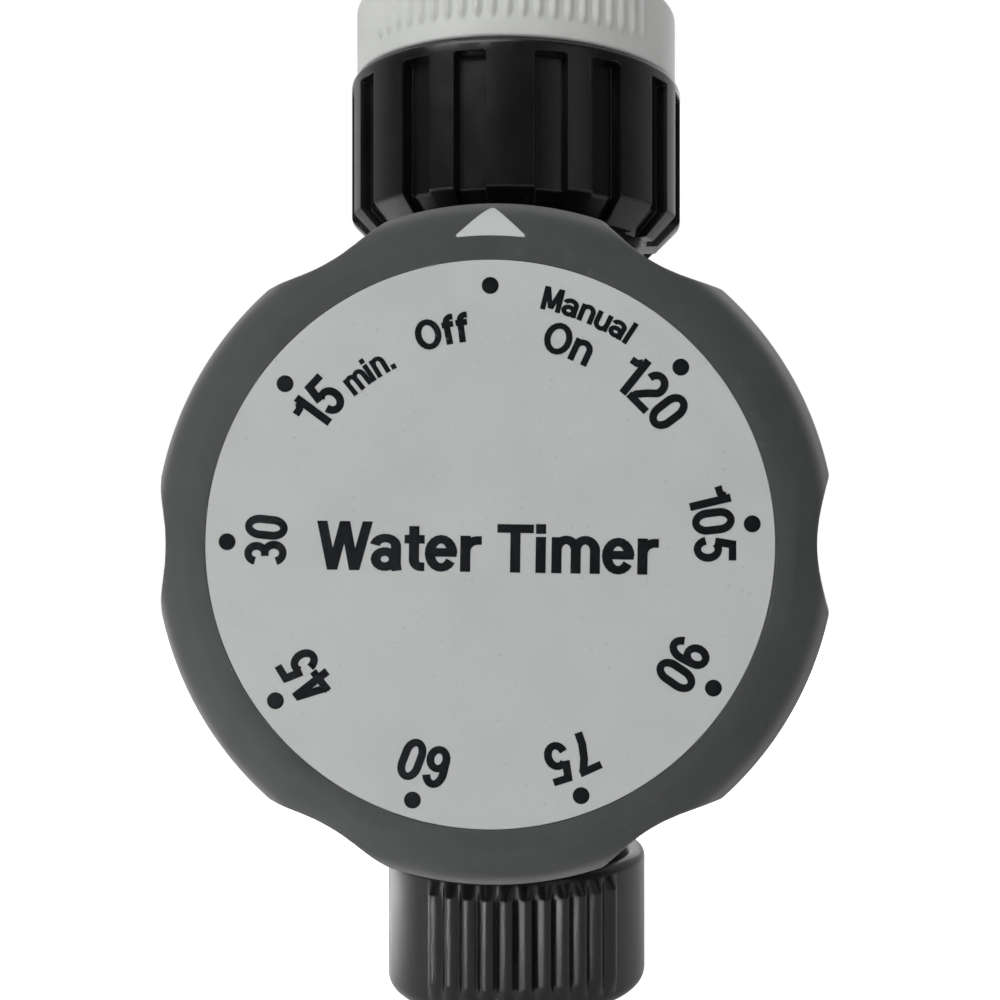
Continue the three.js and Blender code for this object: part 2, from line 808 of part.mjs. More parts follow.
function makeEscapeWheel() {
  const teeth = 15;
  const pitchAngle = (2 * Math.PI) / teeth;
  const outline = Array.from({ length: teeth }, (_, i) => i * pitchAngle).flatMap((angle) => [
    polar(4.9, angle),
    polar(6, angle + 0.55 * pitchAngle),
    polar(4.9, angle + 0.72 * pitchAngle),
  ]);
  return plateY(outline, ESCAPEMENT, [[0, 0, ARBOR_HOLE_R, PIVOT_SIDES]]);
}

// The anchor's two arms reach round the escape wheel; its fork points at the balance.
function makePalletLever() {
  const upperHalf = [
    [1.3, 1.2],
    [2, 4.4],
    [3.2, 4.9],
    [3.4, 5.9],
    [1.2, 5.2],
    [0, 1.6],
    [-1.4, 0.8],
    [-4.4, 1.3],
    [-6, 1.6],
    [-5.8, 0.8],
    [-4.9, 0.6],
  ];
  const mirrored = upperHalf.map(([u, v]) => [u, -v]).reverse();
  const hole = [[0, 0, ARBOR_HOLE_R, PIVOT_SIDES]];
  return plateY([...upperHalf, ...mirrored], ESCAPEMENT, hole).rotateY(-degrees(PALLET_DEG + 180));
}

function makeBalanceWheel() {
  const [low, high] = BALANCE_RIM;
  const rim = ringY(5, 6, low, high, 20);
  const spoke = block([-5.4, 5.4], BALANCE_RIM, [-0.6, 0.6]);
  const hub = rodY(1.8, low, high, 8);
  return cut(join(rim, spoke, hub), rodY(ARBOR_HOLE_R, low - 1, high + 1, PIVOT_SIDES));
}

const makeHairspring = () => plateY(spiralOutline(1.5, 4.2, 2.5, 0.2, 0), HAIRSPRING);

// A stub post riveted to the back plate, for the outer end of the mainspring.
function makeSpringPost() {
  return turnedY(
    [
      [0, -26.6],
      [1, -26.6],
      [1, BACK_PLATE[0] - REST_GAP],
      [PIVOT_R, BACK_PLATE[0] - REST_GAP],
      [PIVOT_R, BACK_PLATE[1] + 0.1],
      [0, BACK_PLATE[1] + 0.1],
    ],
    PIVOT_SIDES,
  );
}

const makeMainspring = () => plateY(spiralOutline(3.9, SPRING_OUTER_R, 4, 0.4, degrees(20)), MAINSPRING);

// ---- Assembly ----

const timer = new THREE.Group();

function add(name, geometry, material, [x, z] = [0, 0]) {
  const mesh = new THREE.Mesh(geometry, material);
  mesh.name = name;
  mesh.position.set(x, 0, z);
  timer.add(mesh);
}

add("dial_body", makeDialBody(), faceWhite);
add("grip_ring", makeGripRing(), gripGrey);
add("main_arbor", makeMainArbor(), steel);
add("great_wheel", makeWheel(GREAT_TEETH, GREAT_PHASE, GREAT_WHEEL, MAIN_ARBOR_R + RUNNING_GAP, 16), brass);
add("timing_cam", makeTimingCam(), nylon);
add("arbor_seal", ringY(5.9, 7.8, -35.5, -34.8), rubber);

add("front_housing", makeFrontHousing(), housingBlack);
add("rear_housing", makeRearHousing(), housingBlack);
screwPlaces.forEach((place, i) => {
  add(`housing_screw_${i + 1}`, makeScrew(2.6, 1.3, [-11, 4.3, 6.5]), steel, place);
});

const trainPlaces = [SECOND, THIRD, ESCAPE, PALLET, BALANCE];
add("front_plate", makePlate(FRONT_PLATE, MAIN_ARBOR_R + RUNNING_GAP, trainPlaces), brass);
add("back_plate", makePlate(BACK_PLATE, MAIN_PIVOT_R + RUNNING_GAP, [...trainPlaces, SPRING_POST]), brass);
pillarPlaces.forEach((place, i) => {
  add(`pillar_${i + 1}`, makePillar(), brass, place);
  // The module screws face the dial, so they are turned end for end.
  add(`module_screw_${i + 1}`, makeScrew(2.2, 1.1, [27, 35.8, 36.9]).rotateX(Math.PI), steel, place);
});
add("spring_post", makeSpringPost(), steel, SPRING_POST);
add("mainspring", makeMainspring(), springSteel);
add("second_arbor", makeArbor(SECOND_PINION, SECOND_PINION_PHASE), steel, SECOND);
add("second_wheel", makeWheel(SECOND_TEETH, SECOND_PHASE, SECOND_WHEEL, ARBOR_HOLE_R), brass, SECOND);
add("third_arbor", makeArbor(THIRD_PINION, THIRD_PINION_PHASE), steel, THIRD);
add("third_wheel", makeWheel(THIRD_TEETH, THIRD_PHASE, THIRD_WHEEL, ARBOR_HOLE_R), brass, THIRD);
add("escape_arbor", makeArbor(ESCAPE_PINION, ESCAPE_PINION_PHASE), steel, ESCAPE);
add("escape_wheel", makeEscapeWheel(), brass, ESCAPE);
add("pallet_arbor", makeArbor(), steel, PALLET);
add("pallet_lever", makePalletLever(), steel, PALLET);
add("balance_staff", makeArbor(), steel, BALANCE);
add("balance_wheel", makeBalanceWheel(), brass, BALANCE);
add("hairspring", makeHairspring(), springSteel, BALANCE);

add("valve_body", makeValveBody(), valveWhite);
add("retaining_ring", makeRetainingRing(), nylon);
add("inlet_filter", makeFilter(), meshSteel);
add("gland_bush", makeGlandBush(), brass);
add("stem_seal", ringY(STEM_R + 0.15, 3.7, -10.4, -9.1), rubber);
add("rear_plug", makeRearPlug(), nylon);
add("plug_seal", ringY(10.1, 12.4, 12.4, 13.2), rubber);
add("return_spring", makeReturnSpring(), springSteel);
add("plunger", makePlunger(), steel);
add("poppet_holder", ringY(STEM_R + RUNNING_GAP, 8.2, 4.9, 6.4), nylon);
add("poppet_washer", ringY(STEM_R + RUNNING_GAP, 8, 2.6, 4.6), rubber);
add("stem_clip", makeStemClip(), springSteel);

add("swivel_nut", makeSwivelNut(), gloss);
add("tap_adaptor", makeTapAdaptor(), adaptorWhite);
add("inlet_washer", ringZ(8.8, 14.8, 52.4, 54.8), rubber);
add("tap_washer", ringZ(8.5, 12.3, TAP_SOCKET_FLOOR + REST_GAP, 61.3), rubber);

add("outlet_connector", makeOutletConnector(), gloss);
add("outlet_washer", ringZ(7, 12.8, -57, -54.8), rubber);
add("nipple_o_ring", ringZ(5, 6.3, -75.1, -73.3), rubber);

timer.position.z = -MOUTH_Z;

export default timer;
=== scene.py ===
import json
import math

import bmesh
import bpy
from mathutils import Matrix, Vector


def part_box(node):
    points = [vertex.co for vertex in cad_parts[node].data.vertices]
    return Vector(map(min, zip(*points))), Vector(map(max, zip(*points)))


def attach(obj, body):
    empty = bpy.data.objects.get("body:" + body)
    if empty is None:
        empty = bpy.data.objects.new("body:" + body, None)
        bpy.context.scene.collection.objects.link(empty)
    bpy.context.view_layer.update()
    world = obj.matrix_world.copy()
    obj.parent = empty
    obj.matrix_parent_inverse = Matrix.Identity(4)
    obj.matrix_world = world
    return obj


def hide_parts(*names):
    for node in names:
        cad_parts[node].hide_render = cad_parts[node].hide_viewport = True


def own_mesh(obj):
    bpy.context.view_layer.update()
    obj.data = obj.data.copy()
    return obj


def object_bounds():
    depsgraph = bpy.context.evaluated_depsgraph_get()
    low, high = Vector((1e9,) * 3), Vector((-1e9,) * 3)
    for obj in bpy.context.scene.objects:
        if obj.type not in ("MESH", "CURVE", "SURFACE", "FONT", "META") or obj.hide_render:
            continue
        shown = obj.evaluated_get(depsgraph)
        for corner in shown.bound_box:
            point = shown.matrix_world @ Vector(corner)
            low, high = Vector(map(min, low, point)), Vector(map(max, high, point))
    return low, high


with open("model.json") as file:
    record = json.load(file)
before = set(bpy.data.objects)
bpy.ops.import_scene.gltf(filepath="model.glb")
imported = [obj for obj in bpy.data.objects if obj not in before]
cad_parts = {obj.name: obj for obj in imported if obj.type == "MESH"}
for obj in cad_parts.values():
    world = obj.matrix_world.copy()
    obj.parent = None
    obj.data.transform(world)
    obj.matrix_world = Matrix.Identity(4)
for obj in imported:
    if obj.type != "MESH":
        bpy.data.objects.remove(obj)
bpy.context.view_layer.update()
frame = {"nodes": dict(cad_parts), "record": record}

# Lengths are millimetres from where the water axis (Z) meets the dial's axis (Y).
# A name that ends in _M is metres in the frame. The dial faces -Y.
# Clock angles run clockwise from the top as seen from the front.

MM = 0.001
DIAL_Z_M = sum(corner.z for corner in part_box("main_arbor")) / 2


def reach(node, axis):
    """A CAD node's lowest and highest place along one axis."""
    lift = DIAL_Z_M if axis == 2 else 0
    return [(corner[axis] - lift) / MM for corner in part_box(node)]


# ---- Driving dimensions ----

INK = 0.03
FACE_Y = reach("dial_body", 1)[0] + INK
FACE_R = 31.2
KNOB_BACK_Y = reach("grip_ring", 1)[1]
RIM_R = 39.0
RIM_Y = -32.3
SCALLOPS = 6
SCALLOP_DEPTH = 3.0
SCALLOP_CUTTER_R = 14.5
SCALLOP_EDGE = 0.5
POINTER_BASE_R = 33.9
POINTER_TIP_R = 37.7
POINTER_HALF_WIDTH = 4.05
POINTER_GAP = 0.03
POINTER_BACK_Y = -36.0
RIM_FACETS = 720
FACE_FACETS = 240
HUB_R = 5.6
HUB_BORE_R = 3.1
HUB_BACK_Y = -33.6
HUB_HOLE_R = 6.2
# The dial's lug runs against a stop on the housing, at the same radii.
LUG_IN_R = 14
LUG_OUT_R = 17.5
LUG_DEG = (30, 35, 40)
LUG_Y = (-37.8, -36.1)
STOP_DEG = (-5, 5)
STOP_FRONT_Y = -37.3

DRUM_R = 35.0
WALL = 2.0
CUP_R = 31.0
CUP_FRONT_Y = reach("front_housing", 1)[0] + 1.7
FLARE_Y = -23.4
BACK_Y = reach("rear_housing", 1)[1]
BACK_EDGE_R = 8.0
PARTING = 0.2
SCREW_CIRCLE_R = 29.3
SCREW_ANGLES = (45, 135, 225, 315)
SCREW_TURN_DEG = 23
HOUSING_FACETS = 192
BOSS_R = 2.7
BOSS_HOLE_R = 1.5
REAR_BOSS_R = 4.2
REAR_HOLE_R = 1.7
REAR_COUNTERBORE_R = 3
BACK_PANEL_R = 20.2
BACK_PANEL_DEPTH = 0.7
# Each neck: inner radius, outer radius, where it ends.
INLET_NECK = (15.3, 17.2, 39.6)
OUTLET_NECK = (13.4, 15.6, -41.0)
NECK_ROOT_FLARE = 1.6

NUT_R = reach("swivel_nut", 0)[1]
NUT_BOTTOM, NUT_TOP = reach("swivel_nut", 2)
NUT_CHAMFER = 3.1
NUT_COLLAR = 1.6
NUT_POCKET_PAIRS = 8
NUT_POCKET_DEPTH = 1.5
NUT_POCKET_DEG = 9.8
NUT_PAIR_DEG = 9.65
NUT_FIRST_PAIR_DEG = -20.5
NUT_EYE_R = 15.3
NUT_LIP = 4.4
NUT_THREAD_R = 16.9
NUT_RELIEF_R = 17.8

ADAPTOR_R = reach("tap_adaptor", 0)[1]
ADAPTOR_FOOT, MOUTH_Z = reach("tap_adaptor", 2)
ADAPTOR_FLANGE = NUT_TOP + 0.3
ADAPTOR_CHAMFER = (3.6, 3.2)
ADAPTOR_BORE_R = 9
ADAPTOR_SLEEVE_R = 16.4
ADAPTOR_RIBS = 21
ADAPTOR_RIB_PITCH_DEG = 5.0
ADAPTOR_RIBS_MIDDLE_DEG = 1.1
ADAPTOR_RIB_HALF_DEG = 1.6
ADAPTOR_RIB_HEIGHT = 0.5
ADAPTOR_FACETS = 720
TAP_SOCKET_R = 12.6
TAP_SOCKET_FLOOR = 58.5
THREAD_TURNS = 5
THREAD_PITCH = 2.2
THREAD_DEPTH = 0.9

OUTLET_R = reach("outlet_connector", 0)[1]
NIPPLE_END, OUTLET_TOP = reach("outlet_connector", 2)
OUTLET_BOTTOM = -60.5
OUTLET_RIBS = 11
OUTLET_RIB_PITCH_DEG = 8.0
OUTLET_RIBS_MIDDLE_DEG = 7.5
OUTLET_RIB_HALF_DEG = 3.9
OUTLET_RIB_HEIGHT = 0.8
OUTLET_FACETS = 900
OUTLET_BORE_R = 4.2
OUTLET_THREAD_R = 13.4
OUTLET_THREAD_END = -57.3
NIPPLE_R = 5.7
NIPPLE_GROOVE_R = 4.9
NIPPLE_COLLAR_R = 7.8

SPRING_COIL_R = 5.6
SPRING_WIRE_R = 0.35
SPRING_FRONT_Y = 7.1
SPRING_BACK_Y = 11.6
SPRING_TURNS = 2.5
SPRING_STEPS = 160

CAMERA_M = Vector((0.0142, -0.190, DIAL_Z_M + 0.0016))
CAMERA_LENS = 49.36
CAMERA_SENSOR = 36
CAMERA_SHIFT = (-0.12, 0.03)
WHITE = (1, 1, 1, 1)
ROOM_FRONT = 0.1
ROOM_BACK = 0.6
ROOM_RAMP = (-0.3, 0.6)
FLOOR_GLOW = 0.72
FLOOR_HALF_M = 3


# ---- Node materials ----


def linear(red, green, blue):
    """A colour given as 0 to 255 display values, as the shader wants it."""
    def channel(value):
        value /= 255
        return value / 12.92 if value <= 0.04045 else ((value + 0.055) / 1.055) ** 2.4
    return (channel(red), channel(green), channel(blue), 1)


def soft_ramp(nodes, low, high, out_low, out_high):
    """A node that goes softly from out_low at low to out_high at high."""
    node = nodes.new("ShaderNodeMapRange")
    node.interpolation_type = "SMOOTHSTEP"
    numbers = {"From Min": low, "From Max": high, "To Min": out_low, "To Max": out_high}
    for key, number in numbers.items():
        node.inputs[key].default_value = number
    return node


class Finish:
    """One material, built up from a principled shader by small steps."""

    def __init__(self, name, color, roughness, metallic=0.0, specular=0.5):
        self.material = bpy.data.materials.new(name)
        self.material.use_nodes = True
        self.nodes = self.material.node_tree.nodes
        self.links = self.material.node_tree.links
        self.shader = self.nodes["Principled BSDF"]
        self.shader.inputs["Metallic"].default_value = metallic
        self.shader.inputs["Specular IOR Level"].default_value = specular
        self.place = self.nodes.new("ShaderNodeTexCoord").outputs["Object"]
        self.color = self.constant_color(color)
        self.roughness = self.constant(roughness)
        self.bumps = []

    def constant_color(self, color):
        node = self.nodes.new("ShaderNodeRGB")
        node.outputs[0].default_value = color
        return node.outputs[0]

    def constant(self, value):
        node = self.nodes.new("ShaderNodeValue")
        node.outputs[0].default_value = value
        return node.outputs[0]

    def noise(self, size_mm, detail=3.0, stretch=(1, 1, 1), distortion=0.0):
        mapping = self.nodes.new("ShaderNodeMapping")
        mapping.inputs["Scale"].default_value = stretch
        self.links.new(self.place, mapping.inputs["Vector"])
        noise = self.nodes.new("ShaderNodeTexNoise")
        noise.inputs["Scale"].default_value = 1000 / size_mm
        noise.inputs["Detail"].default_value = detail
        noise.inputs["Distortion"].default_value = distortion
        self.links.new(mapping.outputs["Vector"], noise.inputs["Vector"])
        return noise.outputs["Fac"]

    def cells(self, size_mm):
        voronoi = self.nodes.new("ShaderNodeTexVoronoi")
        voronoi.inputs["Scale"].default_value = 1000 / size_mm
        self.links.new(self.place, voronoi.inputs["Vector"])
        return voronoi

    def band(self, value, low, high, out_low=0.0, out_high=1.0):
        node = soft_ramp(self.nodes, low, high, out_low, out_high)
        self.links.new(value, node.inputs["Value"])
        return node.outputs["Result"]

    def times(self, one, two):
        node = self.nodes.new("ShaderNodeMath")
        node.operation = "MULTIPLY"
        self.links.new(one, node.inputs[0])
        if isinstance(two, (int, float)):
            node.inputs[1].default_value = two
        else:
            self.links.new(two, node.inputs[1])
        return node.outputs[0]

    def tint(self, factor, color):
        """Mixes another colour in where factor is high."""
        node = self.nodes.new("ShaderNodeMix")
        node.data_type = "RGBA"
        self.links.new(factor, node.inputs["Factor"])
        self.links.new(self.color, node.inputs["A"])
        node.inputs["B"].default_value = color
        self.color = node.outputs["Result"]

    def roughen(self, factor, roughness):
        """Moves the roughness towards a second value where factor is high."""
        node = self.nodes.new("ShaderNodeMix")
        node.data_type = "FLOAT"
        self.links.new(factor, node.inputs["Factor"])
        self.links.new(self.roughness, node.inputs["A"])
        node.inputs["B"].default_value = roughness
        self.roughness = node.outputs["Result"]

    def bump(self, height, depth_mm, strength=1.0):
        self.bumps.append((height, depth_mm, strength))

    def edges(self, low=0.52, high=0.58):
        """High on convex edges."""
        geometry = self.nodes.new("ShaderNodeNewGeometry")
        return self.band(geometry.outputs["Pointiness"], low, high)

    def done(self):
        self.links.new(self.color, self.shader.inputs["Base Color"])
        self.links.new(self.roughness, self.shader.inputs["Roughness"])
        normal = None
        for height, depth_mm, strength in self.bumps:
            bump = self.nodes.new("ShaderNodeBump")
            bump.inputs["Distance"].default_value = depth_mm * MM
            bump.inputs["Strength"].default_value = strength
            self.links.new(height, bump.inputs["Height"])
            if normal:
                self.links.new(normal, bump.inputs["Normal"])
            normal = bump.outputs["Normal"]
        if normal:
            self.links.new(normal, self.shader.inputs["Normal"])
        return self.material


def dial_white():
    f = Finish("dial_white", linear(198, 201, 199), 0.46, specular=0.4)
    f.tint(f.band(f.noise(9, 4), 0.35, 0.75, 0, 0.35), linear(184, 187, 184))
    f.tint(f.band(f.noise(0.7, 2), 0.66, 0.74, 0, 0.35), linear(160, 162, 158))
    f.roughen(f.noise(4, 5), 0.58)
    f.bump(f.noise(0.35, 4), 0.012, 0.5)
    f.bump(f.noise(6, 2), 0.05, 0.25)
    return f.done()


def grip_grey():
    f = Finish("grip_grey", linear(64, 66, 66), 0.7, specular=0.35)
    f.tint(f.band(f.noise(7, 5), 0.3, 0.7, 0, 0.6), linear(58, 60, 60))
    f.tint(f.band(f.noise(1.1, 3, (1, 1, 0.25)), 0.55, 0.8, 0, 0.3), linear(74, 76, 76))
    dust = f.band(f.cells(1.6).outputs["Distance"], 0.05, 0.02)
    sparse = f.band(f.noise(5, 1), 0.56, 0.6)
    f.tint(f.times(dust, sparse), linear(150, 152, 150))
    # Lighter on the convex edges.
    f.tint(f.times(f.edges(), 0.4), linear(84, 86, 86))
    f.shader.inputs["Sheen Weight"].default_value = 0.36
    f.shader.inputs["Sheen Roughness"].default_value = 0.4
    f.roughen(f.noise(2.5, 4), 0.85)
    f.bump(f.noise(0.22, 3), 0.02, 0.6)
    return f.done()


def moulded_black(name, roughness, color, grain_mm, grain_depth, specular=0.4, pale_edges=False):
    f = Finish(name, color, roughness, specular=specular)
    f.tint(f.band(f.noise(5, 5), 0.4, 0.8, 0, 0.4), linear(26, 28, 30))
    scuffs = f.band(f.noise(0.6, 6, (1, 1, 0.12), 0.4), 0.62, 0.7)
    f.tint(f.times(scuffs, 0.08), linear(80, 82, 86))
    f.roughen(f.band(f.noise(3, 3), 0.3, 0.7), roughness + 0.05)
    if pale_edges:
        # Lighter on the convex edges and rib crests.
        f.tint(f.times(f.edges(0.54, 0.7), 0.2), linear(52, 54, 56))
    f.bump(f.noise(grain_mm, 4), grain_depth, 0.6)
    f.bump(f.noise(7, 2), 0.012, 0.2)
    return f.done()


def light_plastic(name, color, shade, roughness):
    f = Finish(name, color, roughness, specular=0.45)
    f.tint(f.band(f.noise(6, 4), 0.35, 0.75, 0, 0.35), shade)
    f.tint(f.band(f.noise(0.5, 3), 0.68, 0.76, 0, 0.3), linear(150, 148, 140))
    f.roughen(f.noise(2, 5), roughness + 0.12)
    f.bump(f.noise(0.3, 4), 0.01, 0.5)
    f.bump(f.noise(4, 2), 0.04, 0.25)
    return f.done()


def metal(name, color, shade, roughness, stretch):
    f = Finish(name, color, roughness, metallic=1.0)
    brushed = f.noise(0.3, 5, stretch)
    f.tint(f.band(brushed, 0.35, 0.7, 0, 0.5), shade)
    f.tint(f.band(f.noise(3, 5), 0.55, 0.75, 0, 0.35), shade)
    f.roughen(brushed, roughness + 0.2)
    f.bump(brushed, 0.01, 0.5)
    return f.done()


def filter_steel():
    f = Finish("filter_steel", linear(154, 160, 163), 0.4, metallic=0.9)
    wires = f.cells(0.5).outputs["Distance"]
    f.tint(f.band(wires, 0.3, 0.6), linear(60, 64, 66))
    f.roughen(f.noise(1, 3), 0.6)
    f.bump(wires, 0.12)
    return f.done()


def black_rubber():
    f = Finish("rubber", linear(22, 22, 22), 0.8, specular=0.3)
    f.tint(f.band(f.noise(1.5, 5), 0.4, 0.8), linear(40, 40, 38))
    f.roughen(f.noise(1, 3), 0.95)
    f.bump(f.noise(0.15, 3), 0.02)
    return f.done()


def ink():
    f = Finish("ink", linear(10, 13, 17), 0.6, specular=0.12)
    f.tint(f.band(f.noise(0.5, 5), 0.55, 0.8, 0, 0.6), linear(34, 36, 38))
    f.roughen(f.noise(0.8, 3), 0.75)
    f.bump(f.noise(0.25, 4), 0.01)
    return f.done()


def floor_paint():
    f = Finish("floor_paint", (0.9, 0.9, 0.9, 1), 0.8, specular=0.1)
    f.tint(f.band(f.noise(60, 3), 0.3, 0.7), (0.88, 0.88, 0.88, 1))
    f.shader.inputs["Emission Color"].default_value = WHITE
    seen = f.nodes.new("ShaderNodeLightPath").outputs["Is Camera Ray"]
    f.links.new(f.times(seen, FLOOR_GLOW), f.shader.inputs["Emission Strength"])
    return f.done()


MATERIALS = {
    "dial_white": dial_white(),
    "grip_grey": grip_grey(),
    "housing_black": moulded_black("housing_black", 0.5, linear(24, 25, 26), 0.25, 0.025),
    "fitting_black": moulded_black(
        "fitting_black", 0.22, linear(11, 12, 13), 0.5, 0.002, specular=0.42, pale_edges=True),
    "adaptor_white": light_plastic("adaptor_white", linear(216, 218, 215), linear(196, 198, 195), 0.38),
    "valve_white": light_plastic("valve_white", linear(226, 224, 214), linear(214, 211, 198), 0.42),
    "nylon": light_plastic("nylon", linear(233, 230, 220), linear(222, 216, 200), 0.45),
    "steel": metal("steel", linear(175, 178, 180), linear(130, 134, 138), 0.25, (1, 8, 1)),
    "spring_steel": metal("spring_steel", linear(109, 116, 120), linear(78, 84, 96), 0.3, (1, 6, 1)),
    "brass": metal("brass", linear(200, 166, 84), linear(160, 122, 56), 0.28, (6, 1, 1)),
    "rubber": black_rubber(),
    "filter_steel": filter_steel(),
}
INK_MATERIAL = ink()


# ---- Mesh helpers ----


def rounded(corners, steps=6):
    """Turns [radius, height, fillet] corners into a profile of points with an arc at each fillet."""
    points = []
    for i, (r, h, fillet) in enumerate(corners):
        here = Vector((r, h))
        if not fillet:
            points.append(here)
            continue
        to_last = Vector(corners[i - 1][:2]) - here
        to_next = Vector(corners[(i + 1) % len(corners)][:2]) - here
        half = to_last.angle(to_next) / 2
        back = min(fillet / math.tan(half), 0.49 * to_last.length, 0.49 * to_next.length)
        radius = back * math.tan(half)
        inward = (to_last.normalized() + to_next.normalized()).normalized()
        centre = here + inward * radius / math.sin(half)
        start = here + to_last.normalized() * back - centre
        end = here + to_next.normalized() * back - centre
        sweep = start.angle(end)
        for k in range(steps + 1):
            a, b = math.sin(sweep * (1 - k / steps)), math.sin(sweep * k / steps)
            points.append(centre + (start * a + end * b) / math.sin(sweep))
    return points


def smooth_through(points, steps):
    """A Catmull-Rom curve through points, without the first and last."""
    curve = []
    for p0, p1, p2, p3 in zip(points, points[1:], points[2:], points[3:]):
        for k in range(steps):
            t = k / steps
            curve.append(
                0.5 * ((2 * p1) + (p2 - p0) * t + (2 * p0 - 5 * p1 + 4 * p2 - p3) * t * t
                       + (3 * p1 - p0 - 3 * p2 + p3) * t ** 3)
            )
    return curve + [points[-2]]


def smooth_step(value, low, high):
    t = min(max((value - low) / (high - low), 0), 1)
    return t * t * (3 - 2 * t)


def even_angles(count):
    return [2 * math.pi * i / count for i in range(count)]


def turned(profile, angles, axis, reshape=None):
    """A closed skin turned about the dial's axis ("Y", clock angles) or the water axis ("Z").

    Angles about Z run from the front. A profile that ends off the axis is joined back to its start.
    reshape(r, h, angle) gives a new radius.
    """
    mesh = bmesh.new()

    def corner(r, h, angle):
        if axis == "Y":
            return mesh.verts.new((r * math.sin(angle), h, r * math.cos(angle)))
        return mesh.verts.new((r * math.sin(angle), -r * math.cos(angle), h))

    rings = []
    for r, h in profile:
        if r < 1e-6:
            rings.append([corner(0, h, 0)])
        else:
            rings.append([corner(reshape(r, h, a) if reshape else r, h, a) for a in angles])
    pairs = list(zip(rings, rings[1:]))
    if len(rings[0]) > 1 and len(rings[-1]) > 1:
        pairs.append((rings[-1], rings[0]))
    for one, two in pairs:
        for i in range(len(angles)):
            j = (i + 1) % len(angles)
            corners = [one[i % len(one)], one[j % len(one)], two[j % len(two)], two[i % len(two)]]
            mesh.faces.new(list(dict.fromkeys(corners)))
    bmesh.ops.recalc_face_normals(mesh, faces=mesh.faces)
    return mesh


def rod(radius, low, high, axis, count=48, at=(0, 0, 0)):
    mesh = turned([(0, low), (radius, low), (radius, high), (0, high)], even_angles(count), axis)
    bmesh.ops.translate(mesh, vec=Vector(at), verts=mesh.verts)
    return mesh


def prism(outline, low, high):
    """An outline of (x, z) points, extruded along Y."""
    mesh = bmesh.new()
    near = [mesh.verts.new((x, low, z)) for x, z in outline]
    far = [mesh.verts.new((x, high, z)) for x, z in outline]
    mesh.faces.new(near)
    mesh.faces.new(far[::-1])
    for i in range(len(outline)):
        j = (i + 1) % len(outline)
        mesh.faces.new([near[i], far[i], far[j], near[j]])
    bmesh.ops.recalc_face_normals(mesh, faces=mesh.faces)
    return mesh


def box(x, y, z):
    return prism([(x[0], z[0]), (x[1], z[0]), (x[1], z[1]), (x[0], z[1])], *y)


def merged(*meshes):
    """Puts several closed skins into one mesh and uses up the others."""
    first = meshes[0]
    for other in meshes[1:]:
        spare = bpy.data.meshes.new("spare")
        other.to_mesh(spare)
        first.from_mesh(spare)
        other.free()
        bpy.data.meshes.remove(spare)
    return first


def placed(name, data):
    """Puts a mesh, light or camera into the scene as an object."""
    thing = bpy.data.objects.new(name, data)
    bpy.context.scene.collection.objects.link(thing)
    return thing


def mesh_object(name, mesh):
    """Turns a mesh into an object of the scene and uses the mesh up."""
    data = bpy.data.meshes.new(name)
    mesh.to_mesh(data)
    mesh.free()
    return placed(name, data)


def combined(base, *steps):
    """Applies ("UNION" | "DIFFERENCE" | "INTERSECT", mesh) steps to a solid and gives back one mesh."""
    work = mesh_object("work", base)
    tools = []
    for operation, mesh in steps:
        tool = mesh_object("tool", mesh)
        tools.append(tool)
        modifier = work.modifiers.new("solid", "BOOLEAN")
        modifier.operation = operation
        modifier.solver = "EXACT"
        modifier.object = tool
    result = bmesh.new()
    result.from_object(work, bpy.context.evaluated_depsgraph_get())
    for thing in [work, *tools]:
        data = thing.data
        bpy.data.objects.remove(thing)
        bpy.data.meshes.remove(data)
    return result


def piece(name, mesh, body, slot, replaced=(), material=None, sharp_deg=32):
    """Makes a finished piece from a mesh drawn in millimetres about the dial's centre."""
    into_frame = Matrix.Translation((0, 0, DIAL_Z_M)) @ Matrix.Scale(MM, 4)
    bmesh.ops.transform(mesh, matrix=into_frame, verts=mesh.verts)
    bmesh.ops.remove_doubles(mesh, verts=mesh.verts, dist=1e-7)
    thing = mesh_object(name, mesh)
    thing.data.shade_smooth()
    thing.data.set_sharp_from_angle(angle=math.radians(sharp_deg))
    thing.data.materials.append(material or MATERIALS[slot])
    normals = thing.modifiers.new("normals", "WEIGHTED_NORMAL")
    normals.keep_sharp = True
    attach(thing, body)
    if replaced:
        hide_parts(*replaced)
    return thing


def clock(radius, angle_deg):
    """The (x, z) place of a clock angle on a circle about the dial's axis."""
    angle = math.radians(angle_deg)
    return radius * math.sin(angle), radius * math.cos(angle)


def turned_by(angle):
    """A turn about the dial's axis, clockwise as seen from the front."""
    return Matrix.Rotation(angle, 4, "Y")


def stop_block(degrees, low, high):
    """A block that fills the stop's ring between clock angles."""
    outer = [clock(LUG_OUT_R, angle) for angle in degrees]
    inner = [clock(LUG_IN_R, angle) for angle in reversed(degrees)]
    return prism(outer + inner, low, high)


# ---- Dial and grip ----


def grip_skin():
    """The grip's outer curve: a flat band, then one full roll over the rim to the back."""
    # The first and last points only steer the curve.
    curve = [(31.0, -41.0), (33.3, FACE_Y), (36.6, -38.4), (38.3, -35.2), (RIM_R, RIM_Y),
             (38.5, -27.6), (36.7, -24.4), (33, -22)]
    flat = [Vector((FACE_R + 0.05, FACE_Y + 0.12)), Vector((FACE_R + 0.12, FACE_Y + 0.03)),
            Vector((FACE_R + 0.3, FACE_Y)), Vector((32.3, FACE_Y))]
    roll = smooth_through([Vector(point) for point in curve], 7)
    return flat + roll


